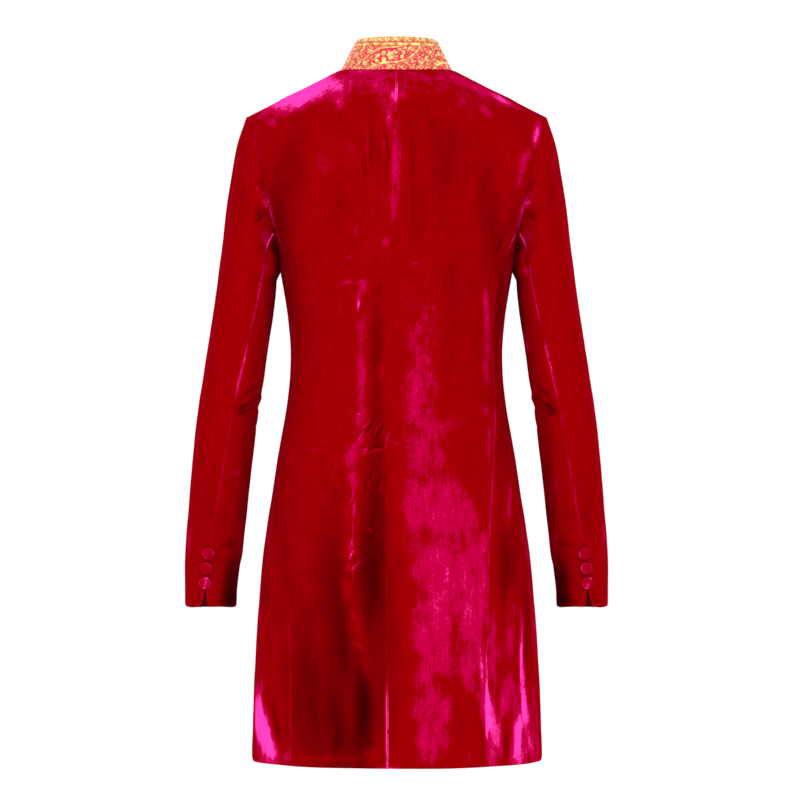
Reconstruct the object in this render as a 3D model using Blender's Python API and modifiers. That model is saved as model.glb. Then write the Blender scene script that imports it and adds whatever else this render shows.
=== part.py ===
"""A long fitted velvet jacket with a stand collar of brocade, hollow and in its worn shape.

Metres, +Z up. The wearer faces -Y, so +X is the wearer's left. The origin is the middle of the neck
opening, at the height where the collar meets the shoulder seams.
"""

import bisect
import functools
import math

import bmesh
import bpy
from mathutils import Matrix, Vector

# Cloth and seams

VELVET = 0.0016
BROCADE = 0.0026
SEAM_GAP = 0.0003
ARMHOLE_GAP = 0.0005
OVERLAP_STEP = VELVET + 0.0007
OVERLAP_SLOPE = 0.035
SHARP_EDGE = math.radians(50)

# Body, from the neck down

NECK_HALF_WIDTH = 0.0718
NECK_BACK_DROP = 0.004
NECK_FRONT_DROP = 0.070
SHOULDER_SLOPE = 0.505
SHOULDER_ARCH = 0.065
SHOULDER_TIP = 0.1875
HEM = -0.859
JOIN = -0.2025
BUTTON_STAND = 0.012
ARMHOLE_TOP = -SHOULDER_SLOPE * (SHOULDER_TIP - NECK_HALF_WIDTH)
ARMHOLE_FOOT = -0.2400
UNDERARM_HALF_WIDTH = 0.1468
JOIN_HALF_WIDTH = 0.1503


class Table:
    """Sizes at a few heights, read anywhere between them on a smooth curve that never overshoots."""

    def __init__(self, columns, *rows):
        self.columns = columns.split()
        rows = sorted(rows)
        self.heights = [row[0] for row in rows]
        self.values = {
            name: [row[k] for row in rows] for k, name in enumerate(self.columns)
        }

    def slope(self, values, k):
        if k in (0, len(values) - 1):
            return 0.0
        before = (values[k] - values[k - 1]) / (self.heights[k] - self.heights[k - 1])
        after = (values[k + 1] - values[k]) / (self.heights[k + 1] - self.heights[k])
        return 2 * before * after / (before + after) if before * after > 0 else 0.0

    def at(self, name, height):
        values = self.values[name]
        if height <= self.heights[0]:
            return values[0]
        if height >= self.heights[-1]:
            return values[-1]
        k = bisect.bisect_right(self.heights, height) - 1
        span = self.heights[k + 1] - self.heights[k]
        t = (height - self.heights[k]) / span
        rise = values[k + 1] - values[k]
        start = self.slope(values, k) * span
        end = self.slope(values, k + 1) * span
        return values[k] + t * (start + t * ((3 * rise - 2 * start - end) + t * (start + end - 2 * rise)))


# Above the underarm the width is that of the whole figure, so that the armhole cuts into it.
BODY = Table(
    "height half_width back front square",
    (0.000, 0.1970, 0.080, 0.046, 2.3),
    (-0.070, 0.1950, 0.097, 0.062, 2.3),
    (-0.110, 0.1905, 0.105, 0.086, 2.3),
    (-0.150, 0.1810, 0.108, 0.106, 2.35),
    (-0.180, 0.1660, 0.107, 0.119, 2.4),
    (-0.200, 0.1555, 0.106, 0.125, 2.4),
    (-0.220, 0.1500, 0.105, 0.129, 2.4),
    (ARMHOLE_FOOT, UNDERARM_HALF_WIDTH, 0.103, 0.129, 2.4),
    (-0.256, 0.1450, 0.101, 0.127, 2.4),
    (-0.294, 0.1375, 0.092, 0.117, 2.35),
    (-0.331, 0.1325, 0.083, 0.106, 2.3),
    (-0.369, 0.1315, 0.079, 0.101, 2.3),
    (-0.406, 0.1345, 0.083, 0.102, 2.3),
    (-0.444, 0.1410, 0.092, 0.105, 2.3),
    (-0.481, 0.1480, 0.103, 0.108, 2.3),
    (-0.519, 0.1550, 0.112, 0.111, 2.3),
    (-0.556, 0.1605, 0.117, 0.113, 2.3),
    (-0.594, 0.1660, 0.120, 0.115, 2.3),
    (-0.669, 0.1735, 0.124, 0.118, 2.3),
    (-0.765, 0.1785, 0.127, 0.121, 2.3),
    (HEM, 0.1808, 0.129, 0.124, 2.3),
)

# Across is half the distance between the left and right seams, turn is how far the skirt has
# slipped round towards the wearer's left.
SEAMS = Table(
    "height back_across front_across turn",
    (JOIN, JOIN_HALF_WIDTH, JOIN_HALF_WIDTH, 0.0000),
    (-0.225, 0.1373, 0.1420, 0.0010),
    (-0.245, 0.1295, 0.1340, 0.0022),
    (-0.281, 0.1235, 0.1210, 0.0036),
    (-0.329, 0.1210, 0.1110, 0.0055),
    (-0.369, 0.1235, 0.1080, 0.0068),
    (-0.444, 0.1275, 0.1140, 0.0088),
    (-0.519, 0.1255, 0.1230, 0.0103),
    (-0.594, 0.1216, 0.1310, 0.0112),
    (HEM, 0.1206, 0.1420, 0.0112),
)

ARMHOLE = Table(
    "height back front",
    (ARMHOLE_TOP, SHOULDER_TIP, SHOULDER_TIP),
    (-0.0890, 0.1775, 0.1735),
    (-0.1110, 0.1705, 0.1655),
    (-0.1275, 0.1660, 0.1615),
    (-0.1500, 0.1630, 0.1585),
    (-0.1710, 0.1575, 0.1555),
    (JOIN, JOIN_HALF_WIDTH, JOIN_HALF_WIDTH),
    (-0.2210, 0.1480, 0.1480),
    (ARMHOLE_FOOT, UNDERARM_HALF_WIDTH, UNDERARM_HALF_WIDTH),
)

# Soft flutes that open towards the hem. Each sits at a distance round the body from the centre
# back, to the wearer's left if positive.
FLUTES = Table(
    "number place width depth top",
    (1, -0.215, 0.034, 0.0050, -0.560),
    (2, -0.172, 0.028, 0.0046, -0.620),
    (3, -0.128, 0.030, -0.0030, -0.600),
    (4, -0.060, 0.046, 0.0030, -0.520),
    (5, 0.052, 0.050, -0.0032, -0.560),
    (6, 0.155, 0.026, -0.0036, -0.690),
    (7, 0.200, 0.036, 0.0052, -0.600),
    (8, 0.275, 0.040, -0.0040, -0.560),
    (9, -0.285, 0.042, -0.0038, -0.580),
    (10, 0.345, 0.034, 0.0030, -0.640),
)

# The neck down to the hem in rows that neighbouring panels share at their seams

SKIRT_ROWS = (
    HEM, -0.815, -0.770, -0.725, -0.680, -0.635, -0.590, -0.550, -0.510, -0.475,
    -0.440, -0.405, -0.370, -0.335, -0.300, -0.262, -0.232, JOIN,
)
SIDE_LEVEL_ROWS = len(SKIRT_ROWS) - 2
NECK_COLUMNS = 5
SHOULDER_COLUMNS = 5
SIDE_COLUMNS = 9
ARMHOLE_ROWS = 8

# Sleeves

SLEEVE = Table(
    "height across forward half_width half_depth hind_seam fore_seam",
    (-0.256, 0.1856, 0.000, 0.0375, 0.0570, 123.0, 230.0),
    (-0.294, 0.1900, 0.002, 0.0381, 0.0550, 117.0, 232.0),
    (-0.331, 0.1956, 0.004, 0.0387, 0.0530, 112.0, 234.0),
    (-0.369, 0.2006, 0.005, 0.0387, 0.0512, 107.0, 235.0),
    (-0.406, 0.2069, 0.005, 0.0387, 0.0500, 103.0, 236.0),
    (-0.444, 0.2119, 0.003, 0.0387, 0.0490, 99.0, 237.0),
    (-0.481, 0.2163, -0.001, 0.0381, 0.0480, 96.0, 238.0),
    (-0.519, 0.2206, -0.006, 0.0375, 0.0470, 93.0, 238.0),
    (-0.556, 0.2244, -0.012, 0.0366, 0.0458, 88.0, 238.0),
    (-0.594, 0.2285, -0.018, 0.0364, 0.0445, 83.0, 238.0),
    (-0.631, 0.2309, -0.024, 0.0352, 0.0432, 81.0, 238.0),
    (-0.670, 0.2336, -0.030, 0.0330, 0.0420, 79.0, 238.0),
)
BICEPS = -0.275
CUFF = -0.670
SLEEVE_ROWS = (
    -0.305, -0.335, -0.362, -0.386, -0.410, -0.440, -0.475, -0.510, -0.545, -0.580,
    -0.615, -0.6475, CUFF,
)
CAP_ROWS = 6
CAP_EASE = 1.4
TOP_SLEEVE_COLUMNS = 2 * ARMHOLE_ROWS
VENT = 0.0225
VENT_HALF_WIDTH = 0.0048

# The bends of the elbow: height at the inside of the arm, height at the hind seam, width and depth.
ELBOW_FOLDS = (
    (-0.402, -0.424, 0.016, -0.0034),
    (-0.376, -0.396, 0.018, 0.0022),
    (-0.345, -0.352, 0.020, -0.0018),
)
ELBOW_REACH = 1.25

# Collar

COLLAR_HEIGHT_BACK = 0.043
COLLAR_HEIGHT_FRONT = 0.040
COLLAR_LEAN_BACK = 16.0
COLLAR_LEAN_SIDE = 28.0
COLLAR_LEAN_FRONT = 4.0
COLLAR_CORNER = 0.018
COLLAR_PART = 0.003
COLLAR_ROWS = 4
COLLAR_END_STEPS = (0.0, 0.0012, 0.0050, 0.0105)

# Buttons

CUFF_BUTTON_RADIUS = 0.0075
CUFF_BUTTONS = (-0.6020, -0.6205, -0.6390)
FRONT_BUTTON_RADIUS = 0.0095
FRONT_BUTTON_TOP = -0.092
FRONT_BUTTON_STEP = 0.058
FRONT_BUTTON_COUNT = 7
BUTTON_STEPS = 12
SHANK_RADIUS = 0.0022
SHANK_HEIGHT = 0.0010
BUTTON_SEAT = 0.0005


def mix(a, b, t):
    return a + (b - a) * t


def ease(t):
    t = min(1.0, max(0.0, t))
    return t * t * (3 - 2 * t)


# The figure that the jacket is worn on


def shoulder_height(x):
    """The shoulder line, which goes on as a low hill under the collar."""
    if abs(x) >= NECK_HALF_WIDTH:
        return -SHOULDER_SLOPE * (abs(x) - NECK_HALF_WIDTH)
    hill = SHOULDER_SLOPE * NECK_HALF_WIDTH / 2
    return hill * (1 - (x / NECK_HALF_WIDTH) ** 2)


def fall_from_shoulder(x, z):
    """0 on the shoulder line, 1 where the shoulder's arch has ended."""
    return min(1.0, max(0.0, (shoulder_height(x) - z) / SHOULDER_ARCH))


def depth(x, z, side):
    """How far behind (side 1) or in front (side -1) of the shoulder line the body is."""
    deepest = BODY.at("back" if side > 0 else "front", z)
    square = BODY.at("square", z)
    across = min(1.0, abs(x) / BODY.at("half_width", z)) ** square
    arch = math.sqrt(1 - (1 - fall_from_shoulder(x, z)) ** 2)
    return side * deepest * (1 - across) ** (1 / square) * arch


def misfit(x, y, z, above_join):
    """Zero on the body's surface, and more outside it."""
    deepest = BODY.at("back" if y >= 0 else "front", z)
    square = BODY.at("square", z)
    across = (abs(x) / BODY.at("half_width", z)) ** square
    if not above_join:
        return across + (abs(y) / deepest) ** square - 1
    level = deepest * (1 - across) ** (1 / square)
    return (y / level) ** 2 + (1 - fall_from_shoulder(x, z)) ** 2 - 1


def body_normal(point, above_join):
    step = 1e-5
    x, y, z = point
    gradient = Vector(
        (
            misfit(x + step, y, z, above_join) - misfit(x - step, y, z, above_join),
            misfit(x, y + step, z, above_join) - misfit(x, y - step, z, above_join),
            misfit(x, y, z + step, above_join) - misfit(x, y, z - step, above_join),
        )
    )
    return gradient.normalized()


@functools.lru_cache(maxsize=None)
def half_ring(z):
    """(distances, points) of the level section at z, from the centre back round to the centre front."""
    steps = 160
    half_width, square = BODY.at("half_width", z), BODY.at("square", z)
    points = []
    for k in range(steps + 1):
        angle = math.pi * k / steps
        deepest = BODY.at("back" if angle <= math.pi / 2 else "front", z)
        sine, cosine = abs(math.sin(angle)), math.cos(angle)
        if k in (0, steps):
            sine = 0.0
        x = half_width * sine ** (2 / square)
        y = math.copysign(deepest * abs(cosine) ** (2 / square), cosine)
        points.append((x, y))
    distances = [0.0]
    for a, b in zip(points, points[1:]):
        distances.append(distances[-1] + math.dist(a, b))
    return distances, points


def half_girth(z):
    return half_ring(z)[0][-1]


def flute_depth(s, z):
    """How far the cloth stands out from the figure, by the flutes that open towards the hem."""
    out = 0.0
    for number in FLUTES.heights:
        top = FLUTES.at("top", number)
        width = FLUTES.at("width", number)
        opened = ease((top - z) / (top - HEM))
        off = (s - FLUTES.at("place", number)) / width
        if abs(off) < 1:
            out += FLUTES.at("depth", number) * opened * math.cos(math.pi * off / 2) ** 2
    return out


def ring_point(s, z):
    """The point of the body at distance s round it from the centre back, and its normal."""
    distances, points = half_ring(z)
    girth = 2 * distances[-1]
    s = (s + girth / 2) % girth - girth / 2
    k = min(len(distances) - 2, max(0, bisect.bisect_right(distances, abs(s)) - 1))
    t = (abs(s) - distances[k]) / (distances[k + 1] - distances[k])
    x = math.copysign(mix(points[k][0], points[k + 1][0], t), s)
    y = mix(points[k][1], points[k + 1][1], t)
    point = Vector((x, y, z))
    normal = body_normal(point, False)
    return point + normal * flute_depth(s, z), normal


def distance_round(x, z, side):
    """How far round the body from the centre back a place x from the middle is."""
    distances, points = half_ring(z)
    half = len(points) // 2
    span = range(half) if side > 0 else range(len(points) - 1, half, -1)
    step = 1 if side > 0 else -1
    for k in span:
        near, far = points[k][0], points[k + step][0]
        if near <= x <= far:
            return mix(distances[k], distances[k + step], (x - near) / (far - near))
    return distances[half]


def seam_place(z, name, hand):
    """Where a seam is at height z, as a distance round the body; hand is 1 on the wearer's left."""
    if name == "centre_back":
        return SEAMS.at("turn", z)
    if name == "centre_front":
        return hand * half_girth(z)
    side = 1 if name == "back" else -1
    return hand * distance_round(SEAMS.at(name + "_across", z), z, side) + SEAMS.at("turn", z) * (side > 0)


# Armhole and neck, which the panels, sleeves and collar share point by point


def armhole_point(angle):
    """The armhole's edge at an angle from its top: 90 is the back, 180 the underarm, 270 the front."""
    angle %= 360
    side = 1 if angle <= 180 else -1
    middle, half = (ARMHOLE_TOP + ARMHOLE_FOOT) / 2, (ARMHOLE_TOP - ARMHOLE_FOOT) / 2
    z = middle + half * math.cos(math.radians(angle))
    x = ARMHOLE.at("back" if side > 0 else "front", z)
    return Vector((x, depth(x, z, side), z))


def join_angle():
    middle, half = (ARMHOLE_TOP + ARMHOLE_FOOT) / 2, (ARMHOLE_TOP - ARMHOLE_FOOT) / 2
    return math.degrees(math.acos((JOIN - middle) / half))


JOIN_ANGLE = join_angle()


def neck_point(x, side):
    """The neck's edge x from the middle, at the back or the front."""
    share = min(1.0, abs(x) / NECK_HALF_WIDTH)
    if side > 0:
        z = -NECK_BACK_DROP * (1 - share**2)
    else:
        z = -NECK_FRONT_DROP * math.sqrt(1 - share**2)
    return Vector((x, depth(x, z, side), z))


def neck_x(k):
    """The neck's columns, closer together where its edge turns down at the shoulder."""
    return NECK_HALF_WIDTH * math.sin(math.pi / 2 * k / NECK_COLUMNS)


def top_edge(k, side):
    """The upper edge of a back or front panel: its neck, then its shoulder seam."""
    if k <= NECK_COLUMNS:
        return neck_point(neck_x(k), side)
    x = mix(NECK_HALF_WIDTH, SHOULDER_TIP, (k - NECK_COLUMNS) / SHOULDER_COLUMNS)
    return Vector((x, 0.0, shoulder_height(x)))


# Walls of cloth


def material(name, colour, roughness, metallic=0.0):
    made = bpy.data.materials.new(name)
    made.use_nodes = True
    shader = made.node_tree.nodes["Principled BSDF"]
    shader.inputs["Base Color"].default_value = (*colour, 1.0)
    shader.inputs["Roughness"].default_value = roughness
    shader.inputs["Metallic"].default_value = metallic
    return made


def place(name, mesh, collection, finish):
    made = bpy.data.objects.new(name, mesh)
    made.data.materials.append(finish)
    collection.objects.link(made)
    return made


def cloth_wall(name, outer, inner, collection, finish):
    """One closed wall between two grids of points that have the same rows and columns."""
    work = bmesh.new()
    grids = [[[work.verts.new(p) for p in row] for row in grid] for grid in (outer, inner)]
    rows, columns = len(outer), len(outer[0])
    for grid in grids:
        for r in range(rows - 1):
            for c in range(columns - 1):
                work.faces.new((grid[r][c], grid[r][c + 1], grid[r + 1][c + 1], grid[r + 1][c]))
    rim = [(0, c) for c in range(columns)]
    rim += [(r, columns - 1) for r in range(1, rows)]
    rim += [(rows - 1, c) for c in range(columns - 2, -1, -1)]
    rim += [(r, 0) for r in range(rows - 2, 0, -1)]
    for a, b in zip(rim, rim[1:] + rim[:1]):
        work.faces.new(
            (grids[0][a[0]][a[1]], grids[0][b[0]][b[1]], grids[1][b[0]][b[1]], grids[1][a[0]][a[1]])
        )
    bmesh.ops.recalc_face_normals(work, faces=work.faces)
    bmesh.ops.triangulate(work, faces=work.faces, quad_method="SHORT_EDGE")
    mesh = bpy.data.meshes.new(name)
    work.to_mesh(mesh)
    work.free()
    mesh.shade_smooth()
    mesh.set_sharp_from_angle(angle=SHARP_EDGE)
    return place(name, mesh, collection, finish)


def wall_from(points, thickness):
    """Outer and inner grids from rows of (point, normal)."""
    outer = [[point for point, _ in row] for row in points]
    inner = [[point - normal * thickness for point, normal in row] for row in points]
    return outer, inner


# Body panels


def skirt_row(z, start, end, columns):
    """One level row of a panel between two distances round the body, half a seam gap in from each."""
    way = math.copysign(1.0, end - start)
    start, end = start + way * SEAM_GAP / 2, end - way * SEAM_GAP / 2
    return [ring_point(mix(start, end, k / columns), z) for k in range(columns + 1)]


def upper_point(x, z, side, least):
    """A point of the body above the join, no nearer to the shoulder seam than least."""
    y = depth(x, z, side)
    if abs(y) < least:
        y = side * least
    point = Vector((x, y, z))
    return point, body_normal(point, True)


def upper_rows(join_row, side, hand):
    """The rows of a back or front panel from the join up to the neck and shoulder.

    They are spaced round the shoulder's arch, and each one's outer end is on the armhole.
    """
    columns = NECK_COLUMNS + SHOULDER_COLUMNS
    edge = join_row[0][0]
    rows = []
    for r in range(1, ARMHOLE_ROWS + 1):
        angle = JOIN_ANGLE * (1 - r / ARMHOLE_ROWS)
        armhole = armhole_point(angle if side > 0 else -angle)
        fraction = (armhole.z - JOIN) / (ARMHOLE_TOP - JOIN)
        row = []
        for k in range(columns + 1):
            share = k / columns
            foot = join_row[k][0]
            top = top_edge(k, side)
            foot_x, foot_z = abs(foot.x), foot.z
            middle_x, middle_z = abs(edge.x) * (1 - fraction), mix(JOIN, top_edge(0, side).z, fraction)
            flat_x = mix(foot_x, top.x, fraction)
            flat_z = mix(foot_z, top.z, fraction)
            # The outer edge is pulled onto the armhole, and the inner one onto the centre line.
            outer_x = armhole.x - mix(abs(join_row[-1][0].x), SHOULDER_TIP, fraction)
            outer_z = armhole.z - mix(JOIN, ARMHOLE_TOP, fraction)
            inner_x = middle_x - mix(abs(edge.x), 0.0, fraction)
            inner_z = middle_z - mix(JOIN, top_edge(0, side).z, fraction)
            x = flat_x + share * outer_x + (1 - share) * inner_x
            z = flat_z + share * outer_z + (1 - share) * inner_z
            if k == 0:
                x = SEAM_GAP / 2
            point, normal = upper_point(x, z, side, SEAM_GAP / 2)
            row.append((Vector((hand * point.x, point.y, point.z)), Vector((hand * normal.x, normal.y, normal.z))))
        rows.append(row)
    return rows


def back_panel(hand):
    columns = NECK_COLUMNS + SHOULDER_COLUMNS
    rows = []
    for z in SKIRT_ROWS:
        rows.append(skirt_row(z, seam_place(z, "centre_back", hand), seam_place(z, "back", hand), columns))
    return rows + upper_rows(rows[-1], 1, hand)


def tucked(row, z, hand):
    """Sets the wearer's left front in under the right one where the two lie on each other."""
    return [
        (
            point - normal * OVERLAP_STEP * (1 - ease((hand * point.x - BUTTON_STAND) / OVERLAP_SLOPE)),
            normal,
        )
        for point, normal in row
    ]


def front_panel(hand):
    columns = NECK_COLUMNS + SHOULDER_COLUMNS
    rows = []
    for z in SKIRT_ROWS:
        middle = seam_place(z, "centre_front", hand)
        seam = seam_place(z, "front", hand)
        row = skirt_row(z, middle, seam, columns)
        row[0] = ring_point(middle, z)
        rows.append(row)
    for row in upper_rows(rows[-1], -1, hand):
        point, _ = row[0]
        row[0] = upper_point(0.0, point.z, -1, SEAM_GAP / 2)
        rows.append(row)
    stands = []
    for row in rows:
        z = row[0][0].z
        if z <= JOIN:
            stands.append(ring_point(seam_place(z, "centre_front", hand) + hand * BUTTON_STAND, z))
        else:
            stands.append(upper_point(-hand * BUTTON_STAND, z, -1, SEAM_GAP / 2))
    rows = [[stand] + row for stand, row in zip(stands, rows)]
    return [tucked(row, row[0][0].z, hand) for row in rows] if hand > 0 else rows


def sagging_row(z, hand):
    """A row of the side panel that starts and ends at height z, and sags as the armhole above it does."""
    level = SKIRT_ROWS[SIDE_LEVEL_ROWS - 1]
    rise = (z - level) / (JOIN - level)
    trim = SEAM_GAP / 2 / half_girth(z)
    start = abs(seam_place(z, "back", hand)) / half_girth(z) + trim
    end = abs(seam_place(z, "front", hand)) / half_girth(z) - trim
    row = []
    for k in range(SIDE_COLUMNS + 1):
        share = k / SIDE_COLUMNS
        edge = armhole_point(mix(JOIN_ANGLE, 360 - JOIN_ANGLE, share))
        height = mix(level, edge.z, rise)
        row.append(ring_point(hand * mix(start, end, share) * half_girth(height), height))
    return row


def side_panel(hand):
    rows = []
    for z in SKIRT_ROWS[:SIDE_LEVEL_ROWS]:
        rows.append(skirt_row(z, seam_place(z, "back", hand), seam_place(z, "front", hand), SIDE_COLUMNS))
    for z in SKIRT_ROWS[SIDE_LEVEL_ROWS:-1]:
        rows.append(sagging_row(z, hand))
    top = []
    for k in range(SIDE_COLUMNS + 1):
        angle = mix(JOIN_ANGLE, 360 - JOIN_ANGLE, k / SIDE_COLUMNS)
        point = armhole_point(angle)
        normal = body_normal(point, False)
        # Half a seam gap in from the back and front panels, which end at the same two points
        if k in (0, SIDE_COLUMNS):
            along = (armhole_point(180.0) - point).normalized()
            point = point + along * SEAM_GAP
        top.append((Vector((hand * point.x, point.y, point.z)), Vector((hand * normal.x, normal.y, normal.z))))
    return rows + [top]


# Sleeves


def seam_angles(z):
    return SLEEVE.at("hind_seam", z), SLEEVE.at("fore_seam", z)


def sleeve_angle(around, z):
    """The angle of a column: 0 to 16 is the top sleeve, from the fore seam, and 16 to 24 the under one."""
    hind, fore = seam_angles(z)
    return column_angle(around, hind, fore)


def column_angle(around, hind, fore):
    if around <= TOP_SLEEVE_COLUMNS:
        return mix(fore - 360, hind, around / TOP_SLEEVE_COLUMNS)
    return mix(hind, fore, (around - TOP_SLEEVE_COLUMNS) / SIDE_COLUMNS)


def elbow_fold(angle, z):
    """The soft folds that run from the inside of the elbow up towards the hind seam."""
    hind, fore = seam_angles(z)
    inside = 180.0
    angle %= 360
    out = 0.0
    for inner_height, hind_height, width, depth_of_fold in ELBOW_FOLDS:
        share = abs(angle - inside) / (inside - hind)
        middle = mix(inner_height, hind_height, share)
        off = (z - middle) / width
        if abs(off) < 1 and share < ELBOW_REACH:
            across = math.cos(math.pi * off / 2) ** 2
            out += depth_of_fold * across * math.sin(math.pi * share / ELBOW_REACH)
    return out


def tube_point(angle, z):
    turn = math.radians(angle)
    x = SLEEVE.at("across", z) + SLEEVE.at("half_width", z) * math.cos(turn)
    y = SLEEVE.at("forward", z) + SLEEVE.at("half_depth", z) * math.sin(turn)
    out = elbow_fold(angle, z)
    return Vector((x + out * math.cos(turn), y + out * math.sin(turn), z))


def leaving(angle):
    """The direction and strength with which the sleeve leaves the armhole at an angle."""
    turn = math.radians(angle)
    upper = max(0.0, math.cos(turn))
    lower = max(0.0, -math.cos(turn))
    sideways = abs(math.sin(turn))
    return (
        Vector((0.064, 0.0, -0.140)) * upper**1.5
        + Vector((0.045, 0.030 * math.sin(turn), -0.060)) * sideways
        + Vector((0.014, 0.0, 0.0)) * lower
    )


def cap_point(around, t):
    """The sleeve's head, from the armhole at t 0 to the level of the biceps at t 1."""
    start_angle = column_angle(around, JOIN_ANGLE, 360 - JOIN_ANGLE)
    away = leaving(start_angle)
    start = armhole_point(start_angle) + away.normalized() * ARMHOLE_GAP
    end = tube_point(sleeve_angle(around, BICEPS), BICEPS)
    reach = (end - start).length
    arrive = Vector((0.013, 0.0, -0.100)).normalized() * reach
    square, cube = t * t, t * t * t
    return (
        start * (2 * cube - 3 * square + 1)
        + away * (cube - 2 * square + t)
        + end * (3 * square - 2 * cube)
        + arrive * (cube - square)
    )


def sleeve_surface(around, along):
    """A point of the sleeve: along is 0 to 1 down the head and then 1 to 2 down the arm."""
    if along <= 1:
        return cap_point(around, max(0.0, along) ** CAP_EASE)
    z = mix(BICEPS, CUFF, along - 1)
    return tube_point(sleeve_angle(around, z), z)


def sleeve_normal(around, along):
    columns = TOP_SLEEVE_COLUMNS + SIDE_COLUMNS
    down_step, round_step = 0.02, 0.1
    low, high = max(0.0, along - down_step), min(2.0, along + down_step)
    down = sleeve_surface(around, high) - sleeve_surface(around, low)
    before, after = (around - round_step) % columns, (around + round_step) % columns
    round_it = sleeve_surface(after, along) - sleeve_surface(before, along)
    return down.cross(round_it).normalized()


def armhole_frame(angle):
    """The body's normal at the armhole's edge, and the direction from there into the hole."""
    point = armhole_point(angle)
    along = (armhole_point(angle + 1) - armhole_point(angle - 1)).normalized()
    normal = body_normal(point, point.z > JOIN)
    inwards = along.cross(normal).normalized()
    middle = (armhole_point(0) + armhole_point(180)) / 2
    return normal, inwards if inwards.dot(middle - point) > 0 else -inwards


def sleeve_row(along, first, last):
    """Points and normals of one row, between two columns."""
    row = []
    for around in range(first, last + 1):
        point = sleeve_surface(around, along)
        normal = sleeve_normal(around, along)
        if along == 0:
            angle = column_angle(around, JOIN_ANGLE, 360 - JOIN_ANGLE)
            body, inwards = armhole_frame(angle)
            if normal.dot(inwards) > 0:
                normal = body
        row.append((point, normal))
    return row


def parted(row, ends):
    """Moves a row's ends half a gap, or half the vent's width, away from the neighbour's."""
    row = list(row)
    for index, neighbour, half_gap in ends:
        point, normal = row[index]
        way = (row[neighbour][0] - point).normalized()
        row[index] = (point + way * half_gap, normal)
    return row


def vent_half_width(z):
    """Half the opening at the hind seam, which is a plain seam gap above the vent."""
    opened = max(0.0, (CUFF + VENT - z) / VENT)
    return SEAM_GAP / 2 + opened * VENT_HALF_WIDTH


def sleeve_alongs():
    head = [k / CAP_ROWS for k in range(CAP_ROWS + 1)]
    return head + [1 + (z - BICEPS) / (CUFF - BICEPS) for z in SLEEVE_ROWS]


def sleeve_piece(first, last, hind_first, hand):
    """One of the sleeve's two pieces; hind_first says which of its edges is the hind seam."""
    rows = []
    for along in sleeve_alongs():
        row = sleeve_row(along, first, last)
        z = mix(BICEPS, CUFF, along - 1) if along > 1 else 0.0
        hind, fore = ((0, 1), (-1, -2)) if hind_first else ((-1, -2), (0, 1))
        row = parted(row, [(*hind, vent_half_width(z)), (*fore, SEAM_GAP / 2)])
        rows.append(
            [
                (Vector((hand * p.x, p.y, p.z)), Vector((hand * n.x, n.y, n.z)))
                for p, n in row
            ]
        )
    return rows


# Collar


def collar_base():
    """The neck's edge from the right end of the collar round the back to the left end."""
    half = [neck_point(neck_x(k), -1) for k in range(NECK_COLUMNS + 1)]
    half += [neck_point(neck_x(k), 1) for k in range(NECK_COLUMNS - 1, -1, -1)]
    first = (half[1] - half[0]).normalized()
    near_end = [half[0] + first * (COLLAR_PART + step) for step in COLLAR_END_STEPS]
    left = near_end + half[1:]
    right = [Vector((-p.x, p.y, p.z)) for p in left[:-1]]
    return right + left[::-1]


def collar_grid():
    base = collar_base()
    run = [0.0]
    for a, b in zip(base, base[1:]):
        run.append(run[-1] + (b - a).length)
    length = run[-1]
    rows = [[] for _ in range(COLLAR_ROWS + 1)]
    for k, point in enumerate(base):
        inwards = Vector((-point.x, -point.y, 0.0)).normalized()
        back, side, front = max(0.0, -inwards.y), abs(inwards.x), max(0.0, inwards.y)
        total = back**2 + side**2 + front**2
        lean = (
            COLLAR_LEAN_BACK * back**2 + COLLAR_LEAN_SIDE * side**2 + COLLAR_LEAN_FRONT * front**2
        ) / total
        lean = math.radians(lean)
        up = Vector((0.0, 0.0, math.cos(lean))) + inwards * math.sin(lean)
        along = (base[min(k + 1, len(base) - 1)] - base[max(k - 1, 0)]).normalized()
        normal = along.cross(up).normalized()
        normal = normal if normal.dot(inwards) < 0 else -normal
        from_end = min(run[k], length - run[k])
        height = mix(COLLAR_HEIGHT_FRONT, COLLAR_HEIGHT_BACK, ease(from_end / (length / 2)))
        if from_end < COLLAR_CORNER:
            short = COLLAR_CORNER - from_end
            height -= COLLAR_CORNER - math.sqrt(COLLAR_CORNER**2 - short**2)
        for r in range(COLLAR_ROWS + 1):
            rows[r].append((point + up * (SEAM_GAP + height * r / COLLAR_ROWS), normal))
    return rows


# Buttons


def button(name, radius, point, normal, collection, finish):
    """A covered button: a low dome with a rolled rim, on a short shank."""
    profile = [
        (0.0, 0.0048),
        (radius * 0.62, 0.0044),
        (radius * 0.94, 0.0033),
        (radius, 0.0021),
        (radius * 0.84, SHANK_HEIGHT),
        (SHANK_RADIUS, SHANK_HEIGHT),
        (SHANK_RADIUS, 0.0),
        (0.0, 0.0),
    ]
    work = bmesh.new()
    corners = [work.verts.new((x, 0.0, z)) for x, z in profile]
    for a, b in zip(corners, corners[1:]):
        work.edges.new((a, b))
    mesh = bpy.data.meshes.new(name)
    work.to_mesh(mesh)
    work.free()
    made = place(name, mesh, collection, finish)
    turn = made.modifiers.new("turn", "SCREW")
    turn.axis = "Z"
    turn.steps = turn.render_steps = BUTTON_STEPS
    turn.use_merge_vertices = True
    turn.merge_threshold = 0.0001
    turn.use_smooth_shade = True
    seat = point + normal * BUTTON_SEAT
    made.matrix_world = Matrix.Translation(seat) @ normal.to_track_quat("Z", "Y").to_matrix().to_4x4()
    return made


def on_rows(rows, column, z):
    """The point and normal at height z on a panel's own column, along its straight edges."""
    for low, high in zip(rows, rows[1:]):
        (a, normal_a), (b, normal_b) = low[column], high[column]
        if min(a.z, b.z) <= z <= max(a.z, b.z):
            t = (z - a.z) / (b.z - a.z)
            return a.lerp(b, t), normal_a.lerp(normal_b, t).normalized()
    raise ValueError(f"no point of the column is at height {z}")


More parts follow.
